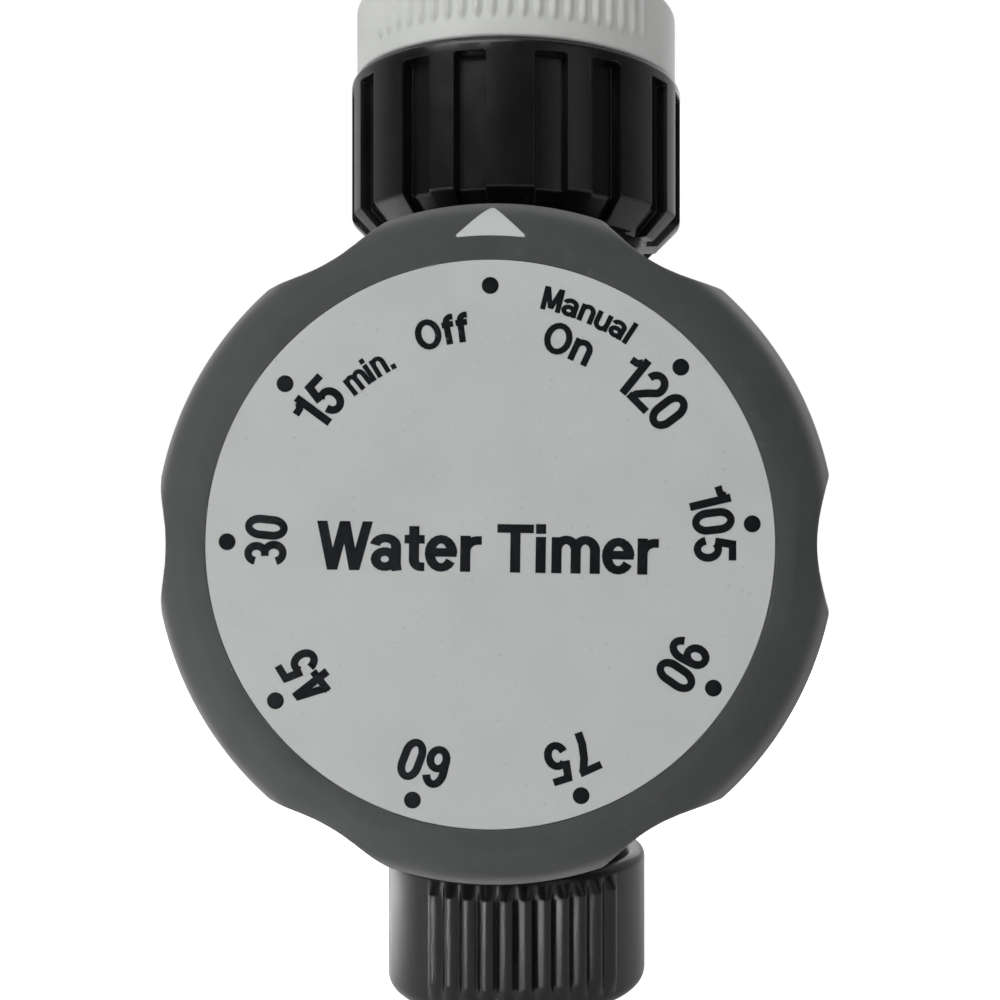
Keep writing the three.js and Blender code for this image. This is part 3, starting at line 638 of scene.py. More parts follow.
def scallop_radius(angle):
    """Where the nearest scallop's wall crosses a ray from the dial's centre."""
    distance = RIM_R - SCALLOP_DEPTH + SCALLOP_CUTTER_R
    step = 2 * math.pi / SCALLOPS
    # Clock angles: the first scallop is at the right, a quarter turn from the top.
    off = (angle - math.pi / 2 + step / 2) % step - step / 2
    inside = SCALLOP_CUTTER_R ** 2 - (distance * math.sin(off)) ** 2
    if inside <= 0:
        return distance
    return distance * math.cos(off) - math.sqrt(inside)


def scalloped(r, h, angle):
    """Cuts a radius back to the scallop's wall and rounds the edge between them."""
    wall = scallop_radius(angle)
    blend = max(SCALLOP_EDGE - abs(r - wall), 0) / SCALLOP_EDGE
    return min(r, wall) - blend * blend * SCALLOP_EDGE / 4


def pointer_outline(clearance):
    """A triangle with rounded corners and a base that follows the face's edge."""
    half = POINTER_HALF_WIDTH + clearance
    base = POINTER_BASE_R - clearance
    tip = POINTER_TIP_R + clearance
    corners = [(-half, base - 0.2, 0.2), (0, tip, 0.35), (half, base - 0.2, 0.2)]
    outline = [(p.x, p.y) for p in rounded(corners, 5)]
    for k in range(1, 12):
        x = half * 0.9 * (1 - k / 6)
        outline.append((x, math.sqrt(base * base - x * x)))
    return outline


def make_grip():
    underside = [Vector(p) for p in (
        (36.3, KNOB_BACK_Y + 0.05), (36.0, KNOB_BACK_Y), (34.9, KNOB_BACK_Y),
        (34.7, KNOB_BACK_Y - 0.2), (34.7, -36.1), (31.5, -38.6), (31.25, -38.9),
    )]
    skin = [p for p in grip_skin() if p.y <= KNOB_BACK_Y - 0.2]
    ring = turned(skin + underside, even_angles(RIM_FACETS), "Y", scalloped)
    window = prism(pointer_outline(POINTER_GAP), FACE_Y - 1, KNOB_BACK_Y - 9)
    piece("grip", combined(ring, ("DIFFERENCE", window)), "dial", "grip_grey", ["grip_ring"])


def make_face():
    shell = turned(
        rounded([
            (0, FACE_Y, 0), (15, FACE_Y, 0), (28, FACE_Y, 0), (FACE_R, FACE_Y, 0.12), (FACE_R, -38.4, 0),
            (34.4, -35.9, 0), (34.4, -25, 0.3), (32.4, -25, 0.3), (32.4, -36, 0.5), (31, -37.6, 0.5),
            (HUB_R, -37.6, 0.4), (HUB_R, HUB_BACK_Y, 0.3), (HUB_BORE_R, HUB_BACK_Y, 0.2),
            (HUB_BORE_R, -38.8, 0), (0, -38.8, 0),
        ]),
        even_angles(FACE_FACETS), "Y",
    )
    envelope = [(0, FACE_Y), *grip_skin(), (0, -24)]
    wedge = prism(pointer_outline(0), FACE_Y - 2, POINTER_BACK_Y)
    cap = combined(turned(envelope, even_angles(RIM_FACETS), "Y"), ("INTERSECT", wedge))
    lug = stop_block(LUG_DEG, *LUG_Y)
    mesh = combined(shell, ("UNION", cap), ("UNION", lug))
    piece("dial_face", mesh, "dial", "dial_white", ["dial_body"])


# ---- Printing ----

# Letters are drawn with capitals 1 high. A glyph is (width, strokes). A stroke is a path of (x, y) points
# and (centre x, centre y, radius x, radius y, from, to) arcs. "ring" closes the path, and "bar" keeps its
# two ends level.
GLYPHS = {
    "0": (0.6, [("ring", (0.3, 0.64, 0.2, 0.28, 0, 180), (0.3, 0.36, 0.2, 0.28, 180, 360))]),
    "1": (0.46, [("bar", (0.36, 0), (0.36, 1)), ("line", (0.04, 0.765), (0.2, 0.775), (0.3, 0.87))]),
    "2": (0.6, [("line", (0.3, 0.69, 0.2, 0.23, 176, -30), (0.3, 0.4), (0.14, 0.2), (0.13, 0.04)),
                ("line", (0.02, 0.085), (0.59, 0.085))]),
    "3": (0.6, [("line", (0.29, 0.715, 0.19, 0.2, 168, -95), (0.22, 0.515)),
                ("line", (0.22, 0.515), (0.29, 0.3, 0.21, 0.215, 92, -168))]),
    "4": (0.64, [("bar", (0.4, 1), (0.1, 0.24)), ("line", (0.02, 0.27), (0.64, 0.27)),
                 ("bar", (0.42, 0), (0.42, 1))]),
    "5": (0.6, [("line", (0.1, 0.915), (0.56, 0.915)), ("line", (0.19, 0.93), (0.12, 0.5)),
                ("line", (0.3, 0.33, 0.2, 0.25, 132, -168))]),
    "6": (0.6, [("ring", (0.3, 0.31, 0.2, 0.23, 0, 360)),
                ("line", (0.31, 0.62, 0.21, 0.3, 22, 180), (0.1, 0.31))]),
    "7": (0.6, [("line", (0.02, 0.915), (0.58, 0.915)),
                ("line", (0.49, 0.9), (0.34, 0.62), (0.24, 0.3), (0.21, 0))]),
    "9": (0.6, [("ring", (0.3, 0.69, 0.2, 0.23, 0, 360)),
                ("line", (0.29, 0.38, 0.21, 0.3, 202, 360), (0.5, 0.69))]),
    "W": (1.1, [("bar", (0.11, 1), (0.33, 0)), ("bar", (0.33, 0), (0.585, 1)),
                ("bar", (0.585, 1), (0.79, 0)), ("bar", (0.79, 0), (1.06, 1))]),
    "T": (0.76, [("line", (0, 0.9), (0.76, 0.9)), ("bar", (0.38, 0), (0.38, 0.95))]),
    "O": (0.86, [("ring", (0.43, 0.5, 0.32, 0.42, 0, 360))]),
    "M": (0.78, [("bar", (0.1, 0), (0.1, 1)), ("bar", (0.68, 0), (0.68, 1)),
                 ("bar", (0.12, 1), (0.39, 0.1)), ("bar", (0.39, 0.1), (0.66, 1))]),
    "a": (0.64, [("line", (0.29, 0.5, 0.22, 0.165, 172, 0), (0.51, 0.14), (0.53, 0)),
                 ("ring", (0.28, 0.235, 0.19, 0.155, 0, 360))]),
    "e": (0.7, [("line", (0.34, 0.37, 0.235, 0.29, -2, 329)), ("line", (0.12, 0.39), (0.665, 0.39))]),
    "f": (0.4, [("line", (0.16, 0), (0.16, 0.74), (0.32, 0.74, 0.16, 0.175, 180, 90), (0.4, 0.915)),
                ("line", (0, 0.67), (0.38, 0.67))]),
    "i": (0.29, [("bar", (0.105, 0), (0.105, 0.74)), ("bar", (0.105, 0.8), (0.105, 1))]),
    "l": (0.21, [("bar", (0.105, 0), (0.105, 1))]),
    "m": (1.0, [("bar", (0.1, 0), (0.1, 0.74)), ("line", (0.3, 0.47, 0.2, 0.215, 180, 0), (0.5, 0)),
                ("line", (0.7, 0.47, 0.2, 0.215, 180, 0), (0.9, 0))]),
    "n": (0.62, [("bar", (0.1, 0), (0.1, 0.74)), ("line", (0.31, 0.46, 0.21, 0.225, 180, 0), (0.52, 0))]),
    "r": (0.41, [("bar", (0.1, 0), (0.1, 0.74)),
                 ("line", (0.36, 0.41, 0.26, 0.235, 180, 90), (0.44, 0.645))]),
    "t": (0.38, [("line", (0.2, 0.92), (0.2, 0.24), (0.34, 0.24, 0.14, 0.15, 180, 270), (0.42, 0.09)),
                 ("line", (0, 0.65), (0.42, 0.65))]),
    "u": (0.62, [("bar", (0.52, 0), (0.52, 0.74)),
                 ("line", (0.1, 0.74), (0.31, 0.28, 0.21, 0.225, 180, 360))]),
    ".": (0.29, [("bar", (0.185, 0), (0.185, 0.2))]),
    " ": (0.26, []),
}
LETTER_GAP = 0.045
ARC_STEPS = 18


def path_points(items):
    """A stroke's path as points, with its arcs drawn out and no point twice in a row."""
    points = []
    for item in items:
        if len(item) == 2:
            points.append(Vector(item))
            continue
        cx, cy, rx, ry, start, end = item
        for k in range(ARC_STEPS + 1):
            angle = math.radians(start + (end - start) * k / ARC_STEPS)
            points.append(Vector((cx + rx * math.cos(angle), cy + ry * math.sin(angle))))
    return [p for p, last in zip(points, [None, *points]) if last is None or (p - last).length > 1e-5]


def stroke_sides(points, closed, pen):
    """The two edges of a pen stroke; the pen may be wider across than it is high."""
    count = len(points)
    left, right = [], []
    for i, point in enumerate(points):
        before = points[i - 1] if closed or i else point
        after = points[(i + 1) % count] if closed or i < count - 1 else point
        along = (after - before).normalized()
        offset = Vector((-along.y * pen[0] / 2, along.x * pen[1] / 2))
        left.append(point + offset)
        right.append(point - offset)
    return left, right


def stroke_mesh(kind, items, pen):
    """One stroke as a thin solid, with its front at y 0."""
    points = path_points(items)
    if kind == "bar":
        half = Vector((pen[0] / 2, 0))
        return prism([points[0] - half, points[0] + half, points[1] + half, points[1] - half], 0, INK)
    if kind == "ring":
        left, right = stroke_sides(points[:-1], closed=True, pen=pen)
        outer, inner = sorted((left, right), key=lambda side: -max(p.x for p in side))
        return combined(prism(outer, 0, INK), ("DIFFERENCE", prism(inner, -1, 1)))
    left, right = stroke_sides(points, closed=False, pen=pen)
    return prism(left + right[::-1], 0, INK)


def glyph_mesh(letter, pen):
    """One letter with its left foot at the origin and its front at y 0, or None for a space."""
    strokes = [stroke_mesh(kind, items, pen) for kind, *items in GLYPHS[letter][1]]
    if len(strokes) < 2:
        return strokes[0] if strokes else None
    return combined(strokes[0], *[("UNION", stroke) for stroke in strokes[1:]])


def print_word(name, word, width, height, pen_mm, place_letter):
    """Prints a word. place_letter(x) is the matrix for a letter x away from the word's middle."""
    widths = [GLYPHS[letter][0] for letter in word]
    whole = sum(widths) + LETTER_GAP * (len(word) - 1)
    stretch = width / whole
    pen = (pen_mm[0] / stretch, pen_mm[1] / height)
    start, meshes = 0, []
    for letter, letter_width in zip(word, widths):
        mesh = glyph_mesh(letter, pen)
        if mesh:
            middle = (start + letter_width / 2 - whole / 2) * stretch
            size = Matrix.Diagonal((stretch, 1, height, 1))
            centre = Matrix.Translation((-letter_width / 2, 0, -0.5))
            bmesh.ops.transform(mesh, matrix=place_letter(middle) @ size @ centre, verts=mesh.verts)
            meshes.append(mesh)
        start += letter_width + LETTER_GAP
    piece(name, merged(*meshes), "dial", "housing_black", material=INK_MATERIAL)


PRINT_FRONT_Y = FACE_Y - INK + 0.002
PRINT_DROP = 0.44
DOT_CIRCLE_R = 28.8
DOT_R = 0.93
NUMBER_CIRCLE_R = 24.6
NUMBER_HEIGHT = 4.6
NUMBER_PEN = (0.89, 0.83)
# Figures, the clock angle of their dot, their own clock angle and their width.
SETTINGS = [
    ("120", 46.4, 46.0, 8.4),
    ("105", 84.6, 83.8, 8.3),
    ("90", 122.0, 121.0, 5.55),
    ("75", 159.8, 158.9, 5.65),
    ("60", 197.2, 197.1, 5.45),
    ("45", 234.7, 235.2, 5.6),
    ("30", 271.5, 272.2, 5.4),
    ("15", 308.8, 310.1, 5.2),
]
# Words round the dial: piece, text, radius, clock angle, width, capital height, pen's width and height.
WORDS = [
    ("min", "min.", 23.7, -34.4, 5.85, 2.85, (0.56, 0.5)),
    ("off", "Off", 24.4, -12.6, 5.95, 3.25, (0.72, 0.66)),
    ("manual", "Manual", 28.1, 22.7, 10.7, 2.6, (0.58, 0.5)),
    ("on", "On", 24.15, 20.9, 5.65, 3.45, (0.72, 0.66)),
]
# The middle line: text, place, tilt in degrees, width and capital height.
TITLE = ("Water Timer", (-0.35, -0.34), 0.9, 37.3, 5.35)
TITLE_PEN = (1.12, 0.95)


def make_dot(name, angle_deg):
    x, z = clock(DOT_CIRCLE_R, angle_deg)
    back = PRINT_FRONT_Y + INK
    front = PRINT_FRONT_Y
    soft = INK / 2
    profile = [(0, back), (DOT_R, back), (DOT_R, front + soft), (DOT_R - soft, front), (0, front)]
    mesh = turned(profile, even_angles(40), "Y")
    bmesh.ops.translate(mesh, vec=(x, 0, z - PRINT_DROP), verts=mesh.verts)
    piece(name, mesh, "dial", "housing_black", material=INK_MATERIAL)


def print_round(name, word, radius, clock_deg, width, height, pen):
    """Prints a word along a circle about the print's own centre."""
    def place_letter(along):
        turn = turned_by(math.radians(clock_deg) + along / radius)
        centre = Matrix.Translation((0, PRINT_FRONT_Y, -PRINT_DROP))
        return centre @ turn @ Matrix.Translation((0, 0, radius))
    print_word(f"print_{name}", word, width, height, pen, place_letter)


def make_printing():
    make_dot("print_dot_off", 0)
    for word, dot_deg, clock_deg, width in SETTINGS:
        make_dot(f"print_dot_{word}", dot_deg)
        print_round(word, word, NUMBER_CIRCLE_R, clock_deg, width, NUMBER_HEIGHT, NUMBER_PEN)
    for word in WORDS:
        print_round(*word)
    title, (x, z), tilt_deg, width, height = TITLE
    base = Matrix.Translation((x, PRINT_FRONT_Y, z)) @ turned_by(math.radians(tilt_deg))
    print_word("print_title", title, width, height, TITLE_PEN,
               lambda along: base @ Matrix.Translation((along, 0, 0)))


# ---- Housing ----


def necks(front):
    """The half collars round the spigot and the outlet thread, each with a flared root."""
    depth = (-25, -PARTING) if front else (PARTING, 25)
    half = box((-60, 60), depth, (-60, 60))
    rings = []
    for inner, outer, end in (INLET_NECK, OUTLET_NECK):
        side = math.copysign(1, end)
        wide = outer + NECK_ROOT_FLARE
        root = [(wide, 33.6 * side, 0), (outer + 0.9, 34.9 * side, 1.5), (outer, 36.4 * side, 2)]
        tip = [(outer, end, 0.4), (inner, end, 0.3), (inner, 29 * side, 0), (wide, 29 * side, 0)]
        rings.append(turned(rounded(root + tip), even_angles(96), "Z"))
    return combined(merged(*rings), ("INTERSECT", half))


def neck_holes():
    return merged(
        rod(INLET_NECK[0], 27, 45, "Z", 96),
        rod(OUTLET_NECK[0], -45, -27, "Z", 96),
    )


def at_screws(radius, low, high, count=32):
    """A rod along Y at each housing screw."""
    places = [clock(SCREW_CIRCLE_R, angle) for angle in SCREW_ANGLES]
    return merged(*[rod(radius, low, high, "Y", count, (x, 0, z)) for x, z in places])


def make_front_housing():
    inner = DRUM_R - WALL
    shell = turned(
        rounded([
            (HUB_HOLE_R, CUP_FRONT_Y, 0.2), (CUP_R, CUP_FRONT_Y, 1.4), (CUP_R, FLARE_Y, 0.5),
            (DRUM_R, FLARE_Y, 1.2), (DRUM_R, -PARTING, 0.25), (inner, -PARTING, 0),
            (inner, FLARE_Y + WALL, 0.5), (CUP_R - WALL, FLARE_Y + WALL, 0.5),
            (CUP_R - WALL, CUP_FRONT_Y + WALL, 1), (HUB_HOLE_R, CUP_FRONT_Y + WALL, 0.2),
        ]),
        even_angles(HOUSING_FACETS), "Y",
    )
    stop = stop_block(STOP_DEG, STOP_FRONT_Y, CUP_FRONT_Y + 0.5)
    mesh = combined(
        shell,
        ("UNION", at_screws(BOSS_R, -22.4, -0.8)),
        ("UNION", stop),
        ("DIFFERENCE", neck_holes()),
        ("UNION", necks(front=True)),
        ("DIFFERENCE", at_screws(BOSS_HOLE_R, -12.5, 0.5, 20)),
    )
    piece("housing_front", mesh, "case", "housing_black", ["front_housing"])


def flow_arrow():
    """A plain moulded arrow in the middle of the back that points the way the water runs."""
    outline = [(-2.2, 13), (2.2, 13), (2.2, -3), (6.2, -3), (0, -13), (-6.2, -3), (-2.2, -3)]
    mesh = prism(outline, BACK_Y - 1.0, BACK_Y - 0.05)
    top = [edge for edge in mesh.edges if all(v.co.y > BACK_Y - 0.2 for v in edge.verts)]
    bmesh.ops.bevel(mesh, geom=top, offset=0.3, segments=3, affect="EDGES")
    return mesh


def make_rear_housing():
    edge_r = DRUM_R - BACK_EDGE_R
    edge_y = BACK_Y - BACK_EDGE_R
    panel_y = BACK_Y - BACK_PANEL_DEPTH
    shell = turned(
        rounded([
            (0, panel_y - WALL, 0), (edge_r + 2, panel_y - WALL, 0), (DRUM_R - WALL, BACK_Y - WALL, 6),
            (DRUM_R - WALL, PARTING, 0), (DRUM_R, PARTING, 0.25), (DRUM_R, edge_y - 6, 0),
            (DRUM_R, BACK_Y, BACK_EDGE_R), (BACK_PANEL_R + 0.6, BACK_Y, 0.4),
            (BACK_PANEL_R, panel_y, 0.4), (0, panel_y, 0),
        ], 10),
        even_angles(HOUSING_FACETS), "Y",
    )
    mesh = combined(
        shell,
        ("UNION", at_screws(REAR_BOSS_R, PARTING, 15.0)),
        ("DIFFERENCE", neck_holes()),
        ("UNION", necks(front=False)),
        ("DIFFERENCE", at_screws(REAR_HOLE_R, -1, 6, 20)),
        ("DIFFERENCE", at_screws(REAR_COUNTERBORE_R, 4, 20, 40)),
        ("UNION", flow_arrow()),
    )
    piece("housing_rear", mesh, "case", "housing_black", ["rear_housing"])


def make_screws():
    """Four pan-head screws with cross recesses, sunk in the back."""
    profile = rounded([
        (0, -11, 0), (1.25, -9.4, 0.3), (1.25, 4.3, 0), (2.6, 4.3, 0.15),
        (2.6, 5.6, 0.7), (1.4, 6.35, 0.6), (0, 6.5, 0),
    ], 5)
    for i, angle in enumerate(SCREW_ANGLES):
        x, z = clock(SCREW_CIRCLE_R, 90 - angle)
        turn = turned_by(math.radians(SCREW_TURN_DEG * i))
        long, thin = (-1.5, 1.5), (-0.32, 0.32)
        wings = [box(long, (5.3, 7), thin), box(thin, (5.3, 7), long)]
        pit = rod(0.75, 5.1, 7, "Y", 16)
        steps = [("DIFFERENCE", wing) for wing in wings] + [("DIFFERENCE", pit)]
        mesh = combined(turned(profile, even_angles(48), "Y"), *steps)
        bmesh.ops.transform(mesh, matrix=Matrix.Translation((x, 0, z)) @ turn, verts=mesh.verts)
        piece(f"case_screw_{i + 1}", mesh, "case", "steel", [f"housing_screw_{i + 1}"])


# ---- Inlet swivel ----


def nut_angles():
    """Angles round the nut, closest together at the pockets' walls."""
    half = NUT_POCKET_DEG / 2
    inner_land = NUT_PAIR_DEG - half
    outer_land = 180 / NUT_POCKET_PAIRS - NUT_PAIR_DEG - half
    near_wall = [-1.2, -0.7, -0.5, -0.35, -0.2, -0.05, 0.1, 0.25, 0.4, 0.6, 1.1]
    pocket = [-half + 1.9, 0, half - 1.9]
    pocket += [half + d for d in near_wall] + [-half - d for d in near_wall]
    offsets = [NUT_PAIR_DEG + a for a in pocket]
    offsets += [inner_land * k / 4 for k in (1, 2)]
    offsets += [NUT_PAIR_DEG + half + 1.1 + (outer_land - 1.1) * k / 4 for k in (1, 2, 3)]
    offsets = sorted([-a for a in offsets] + [0] + offsets + [180 / NUT_POCKET_PAIRS])
    pitch = 360 / NUT_POCKET_PAIRS
    starts = [NUT_FIRST_PAIR_DEG + pitch * i for i in range(NUT_POCKET_PAIRS)]
    return [math.radians(start + a) for start in starts for a in offsets]


def pocketed(r, h, angle):
    """Sinks the nut's outer wall into the pockets below its collar."""
    if r < NUT_R - NUT_CHAMFER - 0.5:
        return r
    pitch = 360 / NUT_POCKET_PAIRS
    from_pair = abs((math.degrees(angle) - NUT_FIRST_PAIR_DEG + pitch / 2) % pitch - pitch / 2)
    off = abs(from_pair - NUT_PAIR_DEG)
    across = 1 - smooth_step(off, NUT_POCKET_DEG / 2 - 0.45, NUT_POCKET_DEG / 2 + 0.45)
    up = 1 - smooth_step(h, NUT_TOP - NUT_COLLAR - 0.4, NUT_TOP - NUT_COLLAR)
    return r - NUT_POCKET_DEPTH * across * up


def make_nut():
    shoulder = NUT_TOP - NUT_COLLAR
    wall = [(NUT_R, z, 0) for z in (46, 50, 55, 59)]
    ledge = [(NUT_R, shoulder - 0.4 + 0.05 * k, 0) for k in range(-2, 10)]
    profile = rounded([
        (NUT_EYE_R, NUT_BOTTOM, 0.3), (NUT_R - NUT_CHAMFER, NUT_BOTTOM, 0.4),
        (NUT_R, NUT_BOTTOM + NUT_CHAMFER, 0.9), *wall, *ledge, (NUT_R, NUT_TOP, 1.3),
        (NUT_THREAD_R, NUT_TOP, 0.3), (NUT_THREAD_R, 53, 0), (NUT_RELIEF_R, 52, 0),
        (NUT_RELIEF_R, NUT_BOTTOM + NUT_LIP, 0.3), (NUT_EYE_R, NUT_BOTTOM + NUT_LIP, 0.3),
    ], 6)
    mesh = turned(profile, nut_angles(), "Z", pocketed)
    piece("nut", mesh, "inlet_swivel", "fitting_black", ["swivel_nut"], sharp_deg=50)


def rib_groups(count, pitch_deg, middle_deg):
    """The ribs' angles: one group at the front and one opposite."""
    front = [middle_deg + pitch_deg * (i - (count - 1) / 2) for i in range(count)]
    return front + [angle + 180 for angle in front]


def ribbed(ribs, half_deg, height, low, high, fade, inside_r):
    """A reshape function that raises round ribs between two heights, on the wall beyond inside_r."""
    def reshape(r, h, angle):
        if r <= inside_r:
            return r
        degrees = math.degrees(angle)
        off = min(abs((degrees - rib + 180) % 360 - 180) for rib in ribs)
        along = smooth_step(h, low, low + fade) * (1 - smooth_step(h, high - fade, high))
        # The rib narrows towards its ends, which makes them round.
        width = half_deg * (0.35 + 0.65 * along)
        across = math.cos(math.pi / 2 * off / width) if off < width else 0
        return r + height * across * min(along * 1.4, 1)
    return reshape


def make_adaptor():
    ribs = rib_groups(ADAPTOR_RIBS, ADAPTOR_RIB_PITCH_DEG, ADAPTOR_RIBS_MIDDLE_DEG)
    across, up = ADAPTOR_CHAMFER
    foot = ADAPTOR_FLANGE
    shoulder = MOUTH_Z - up
    raise_ribs = ribbed(
        ribs, ADAPTOR_RIB_HALF_DEG, ADAPTOR_RIB_HEIGHT,
        low=foot + 2.2, high=shoulder + 0.4, fade=1.3, inside_r=ADAPTOR_R - 2,
    )
    wall = [(ADAPTOR_R, foot + d, 0) for d in (1, 2, 2.4, 2.8, 3.2, 3.6, 4, 5.5, 7)]
    wall += [(ADAPTOR_R, shoulder - d, 0) for d in (1.6, 1.2)]
    root_r = TAP_SOCKET_R + THREAD_DEPTH
    thread = []
    for k in range(THREAD_TURNS):
        low = TAP_SOCKET_FLOOR + 4 + THREAD_PITCH * k
        thread += [(root_r, low, 0.15), (TAP_SOCKET_R, low + 0.7, 0.15),
                   (TAP_SOCKET_R, low + 1.1, 0.15), (root_r, low + 1.8, 0.15)]
    profile = rounded([
        (ADAPTOR_BORE_R, ADAPTOR_FOOT, 0.3), (ADAPTOR_SLEEVE_R - 1, ADAPTOR_FOOT, 0.3),
        (ADAPTOR_SLEEVE_R, ADAPTOR_FOOT + 1, 0.3), (ADAPTOR_SLEEVE_R, foot, 0.2),
        (ADAPTOR_R, foot, 0.4), *wall, (ADAPTOR_R, shoulder, 1.2),
        (ADAPTOR_R - across, MOUTH_Z, 0.8), (TAP_SOCKET_R + 1.6, MOUTH_Z, 0.3),
        (root_r, MOUTH_Z - 0.8, 0.2), *reversed(thread), (TAP_SOCKET_R, TAP_SOCKET_FLOOR, 0.3),
        (ADAPTOR_BORE_R, TAP_SOCKET_FLOOR, 0.3),
    ], 8)
    mesh = turned(profile, even_angles(ADAPTOR_FACETS), "Z", raise_ribs)
    piece("adaptor", mesh, "inlet_swivel", "adaptor_white", ["tap_adaptor"], sharp_deg=40)


# ---- Outlet connector ----


def make_outlet():
    ribs = rib_groups(OUTLET_RIBS, OUTLET_RIB_PITCH_DEG, OUTLET_RIBS_MIDDLE_DEG)
    raise_ribs = ribbed(
        ribs, OUTLET_RIB_HALF_DEG, OUTLET_RIB_HEIGHT,
        low=-57.2, high=OUTLET_TOP - 1.3, fade=0.9, inside_r=OUTLET_R - 1.5,
    )
    # Rows close together where the ribs begin and end.
    heights = (-56.4, -56, -55.6, -55.2, -54, -50, -47, -46, -45.6, -45.2, -44.8)
    rows = [(OUTLET_R, z, 0) for z in heights]
    profile = rounded([
        (OUTLET_BORE_R, NIPPLE_END, 0.2), (5.0, NIPPLE_END, 0.2), (NIPPLE_R, NIPPLE_END + 1, 0.3),
        (NIPPLE_R, -75.4, 0.1), (NIPPLE_GROOVE_R, -75.4, 0.1), (NIPPLE_GROOVE_R, -73, 0.1),
        (NIPPLE_R, -73, 0.1), (NIPPLE_R, -70.6, 0.3), (NIPPLE_COLLAR_R, -69.4, 0.3),
        (NIPPLE_COLLAR_R, -66.4, 0.3), (6.6, -65.2, 0.3), (6.6, OUTLET_BOTTOM - 0.6, 0.8),
        (8.8, OUTLET_BOTTOM, 0.4), (OUTLET_R, OUTLET_BOTTOM, 4.2), *rows, (OUTLET_R, OUTLET_TOP, 2.4),
        (OUTLET_THREAD_R, OUTLET_TOP, 0.3), (OUTLET_THREAD_R, OUTLET_THREAD_END, 0),
        (OUTLET_BORE_R, OUTLET_THREAD_END, 0.3),
    ], 10)
    mesh = turned(profile, even_angles(OUTLET_FACETS), "Z", raise_ribs)
    piece("outlet", mesh, "case", "fitting_black", ["outlet_connector"], sharp_deg=45)


# ---- Valve spring ----


def make_return_spring():
    """The spring behind the valve, as a fixed coil; the real spring's turns close up as the stem slides
    back.
    """
    mesh = bmesh.new()
    sections = []
    for k in range(SPRING_STEPS + 1):
        turn = 2 * math.pi * SPRING_TURNS * k / SPRING_STEPS
        out = Vector((math.cos(turn), 0, math.sin(turn)))
        height = SPRING_FRONT_Y + (SPRING_BACK_Y - SPRING_FRONT_Y) * k / SPRING_STEPS
        centre = out * SPRING_COIL_R + Vector((0, height, 0))
        section = [out * math.cos(a) + Vector((0, math.sin(a), 0)) for a in even_angles(12)]
        sections.append([mesh.verts.new(centre + SPRING_WIRE_R * side) for side in section])
    for one, two in zip(sections, sections[1:]):
        for i in range(len(one)):
            j = (i + 1) % len(one)
            mesh.faces.new((one[i], one[j], two[j], two[i]))
    mesh.faces.new(sections[0])
    mesh.faces.new(sections[-1])
    bmesh.ops.recalc_face_normals(mesh, faces=mesh.faces)
    spring = piece("return_coil", mesh, "case", "spring_steel", ["return_spring"])
    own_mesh(spring)


# ---- Kept CAD nodes ----


def finish_cad_nodes():
    """Gives every CAD node the material of its slot in the record."""
    for entry in frame["record"]["subparts"]:
        for slot in frame["nodes"][entry["node"]].material_slots:
            slot.material = MATERIALS[entry["material_slot"]]


# ---- Stage ----


def make_floor():
    low_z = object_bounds()[0][2]
    mesh = bmesh.new()
    bmesh.ops.create_grid(mesh, x_segments=8, y_segments=8, size=FLOOR_HALF_M)
    bmesh.ops.translate(mesh, vec=(0, 0, low_z), verts=mesh.verts)
    floor = mesh_object("floor", mesh)
    floor.data.materials.append(floor_paint())


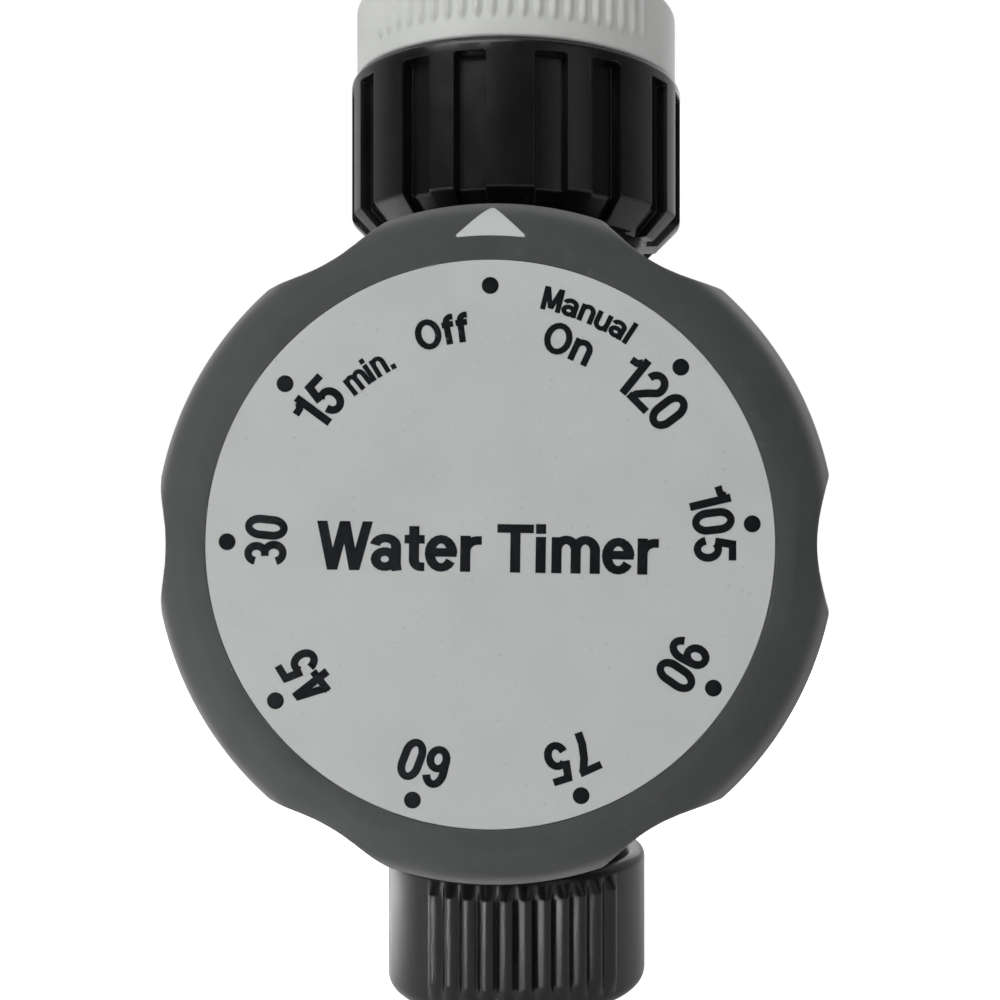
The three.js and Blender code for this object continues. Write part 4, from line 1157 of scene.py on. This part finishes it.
def make_world():
    """A bright surround behind the object, a dimmer room in front of it, and a white background."""
    world = bpy.data.worlds.new("studio")
    bpy.context.scene.world = world
    world.use_nodes = True
    nodes, links = world.node_tree.nodes, world.node_tree.links
    room = nodes["Background"]
    place = nodes.new("ShaderNodeTexCoord")
    split = nodes.new("ShaderNodeSeparateXYZ")
    ramp = soft_ramp(nodes, *ROOM_RAMP, ROOM_FRONT, ROOM_BACK)
    white = nodes.new("ShaderNodeBackground")
    white.inputs["Strength"].default_value = 1.0
    white.inputs["Color"].default_value = WHITE
    path = nodes.new("ShaderNodeLightPath")
    mix = nodes.new("ShaderNodeMixShader")
    links.new(place.outputs["Generated"], split.inputs[0])
    links.new(split.outputs["Y"], ramp.inputs["Value"])
    room.inputs["Color"].default_value = WHITE
    links.new(ramp.outputs["Result"], room.inputs["Strength"])
    links.new(path.outputs["Is Camera Ray"], mix.inputs[0])
    links.new(room.outputs[0], mix.inputs[1])
    links.new(white.outputs[0], mix.inputs[2])
    links.new(mix.outputs[0], nodes["World Output"].inputs["Surface"])


def softbox(name, place, aim, size, watts, spread_deg=180):
    """An area light; place and aim are metres from the dial's centre."""
    data = bpy.data.lights.new(name, "AREA")
    data.shape = "RECTANGLE"
    data.size, data.size_y = size
    data.energy = watts
    data.spread = math.radians(spread_deg)
    lamp = placed(name, data)
    lamp.location = Vector((0, 0, DIAL_Z_M)) + Vector(place)
    lamp.rotation_euler = (Vector(aim) - Vector(place)).to_track_quat("-Z", "Y").to_euler()


def make_lights():
    softbox("key", (-0.3, -0.45, 0.6), (0, 0, 0), (0.6, 0.6), 4.2)
    softbox("fill", (0.5, -0.6, 0.25), (0, 0, 0), (0.35, 0.5), 0.25)
    # Two lights that shine straight down beside the object make bright patches of floor,
    # which the glossy black pieces reflect.
    softbox("patch_front", (-0.1, -0.13, 0.3), (-0.1, -0.13, 0), (0.1, 0.1), 0.5, 20)
    softbox("patch_left", (-0.12, 0.09, 0.3), (-0.12, 0.09, 0), (0.1, 0.1), 0.09, 16)
    softbox("top", (0, 0.2, 0.7), (0, 0, 0), (0.8, 0.8), 0.8)
    softbox("back_fill", (0.1, 0.8, 0.4), (0, 0, 0), (0.8, 0.6), 1.4)


def make_camera():
    data = bpy.data.cameras.new("camera")
    data.lens = CAMERA_LENS
    data.sensor_width = CAMERA_SENSOR
    data.shift_x, data.shift_y = CAMERA_SHIFT
    data.clip_start = 0.01
    camera = placed("camera", data)
    camera.location = CAMERA_M
    camera.rotation_euler = (math.pi / 2, 0, 0)
    bpy.context.scene.camera = camera


make_camera()
make_world()
make_lights()
finish_cad_nodes()
make_grip()
make_face()
make_printing()
make_front_housing()
make_rear_housing()
make_screws()
make_nut()
make_adaptor()
make_outlet()
make_return_spring()
make_floor()
bpy.context.scene.view_settings.view_transform = "Standard"
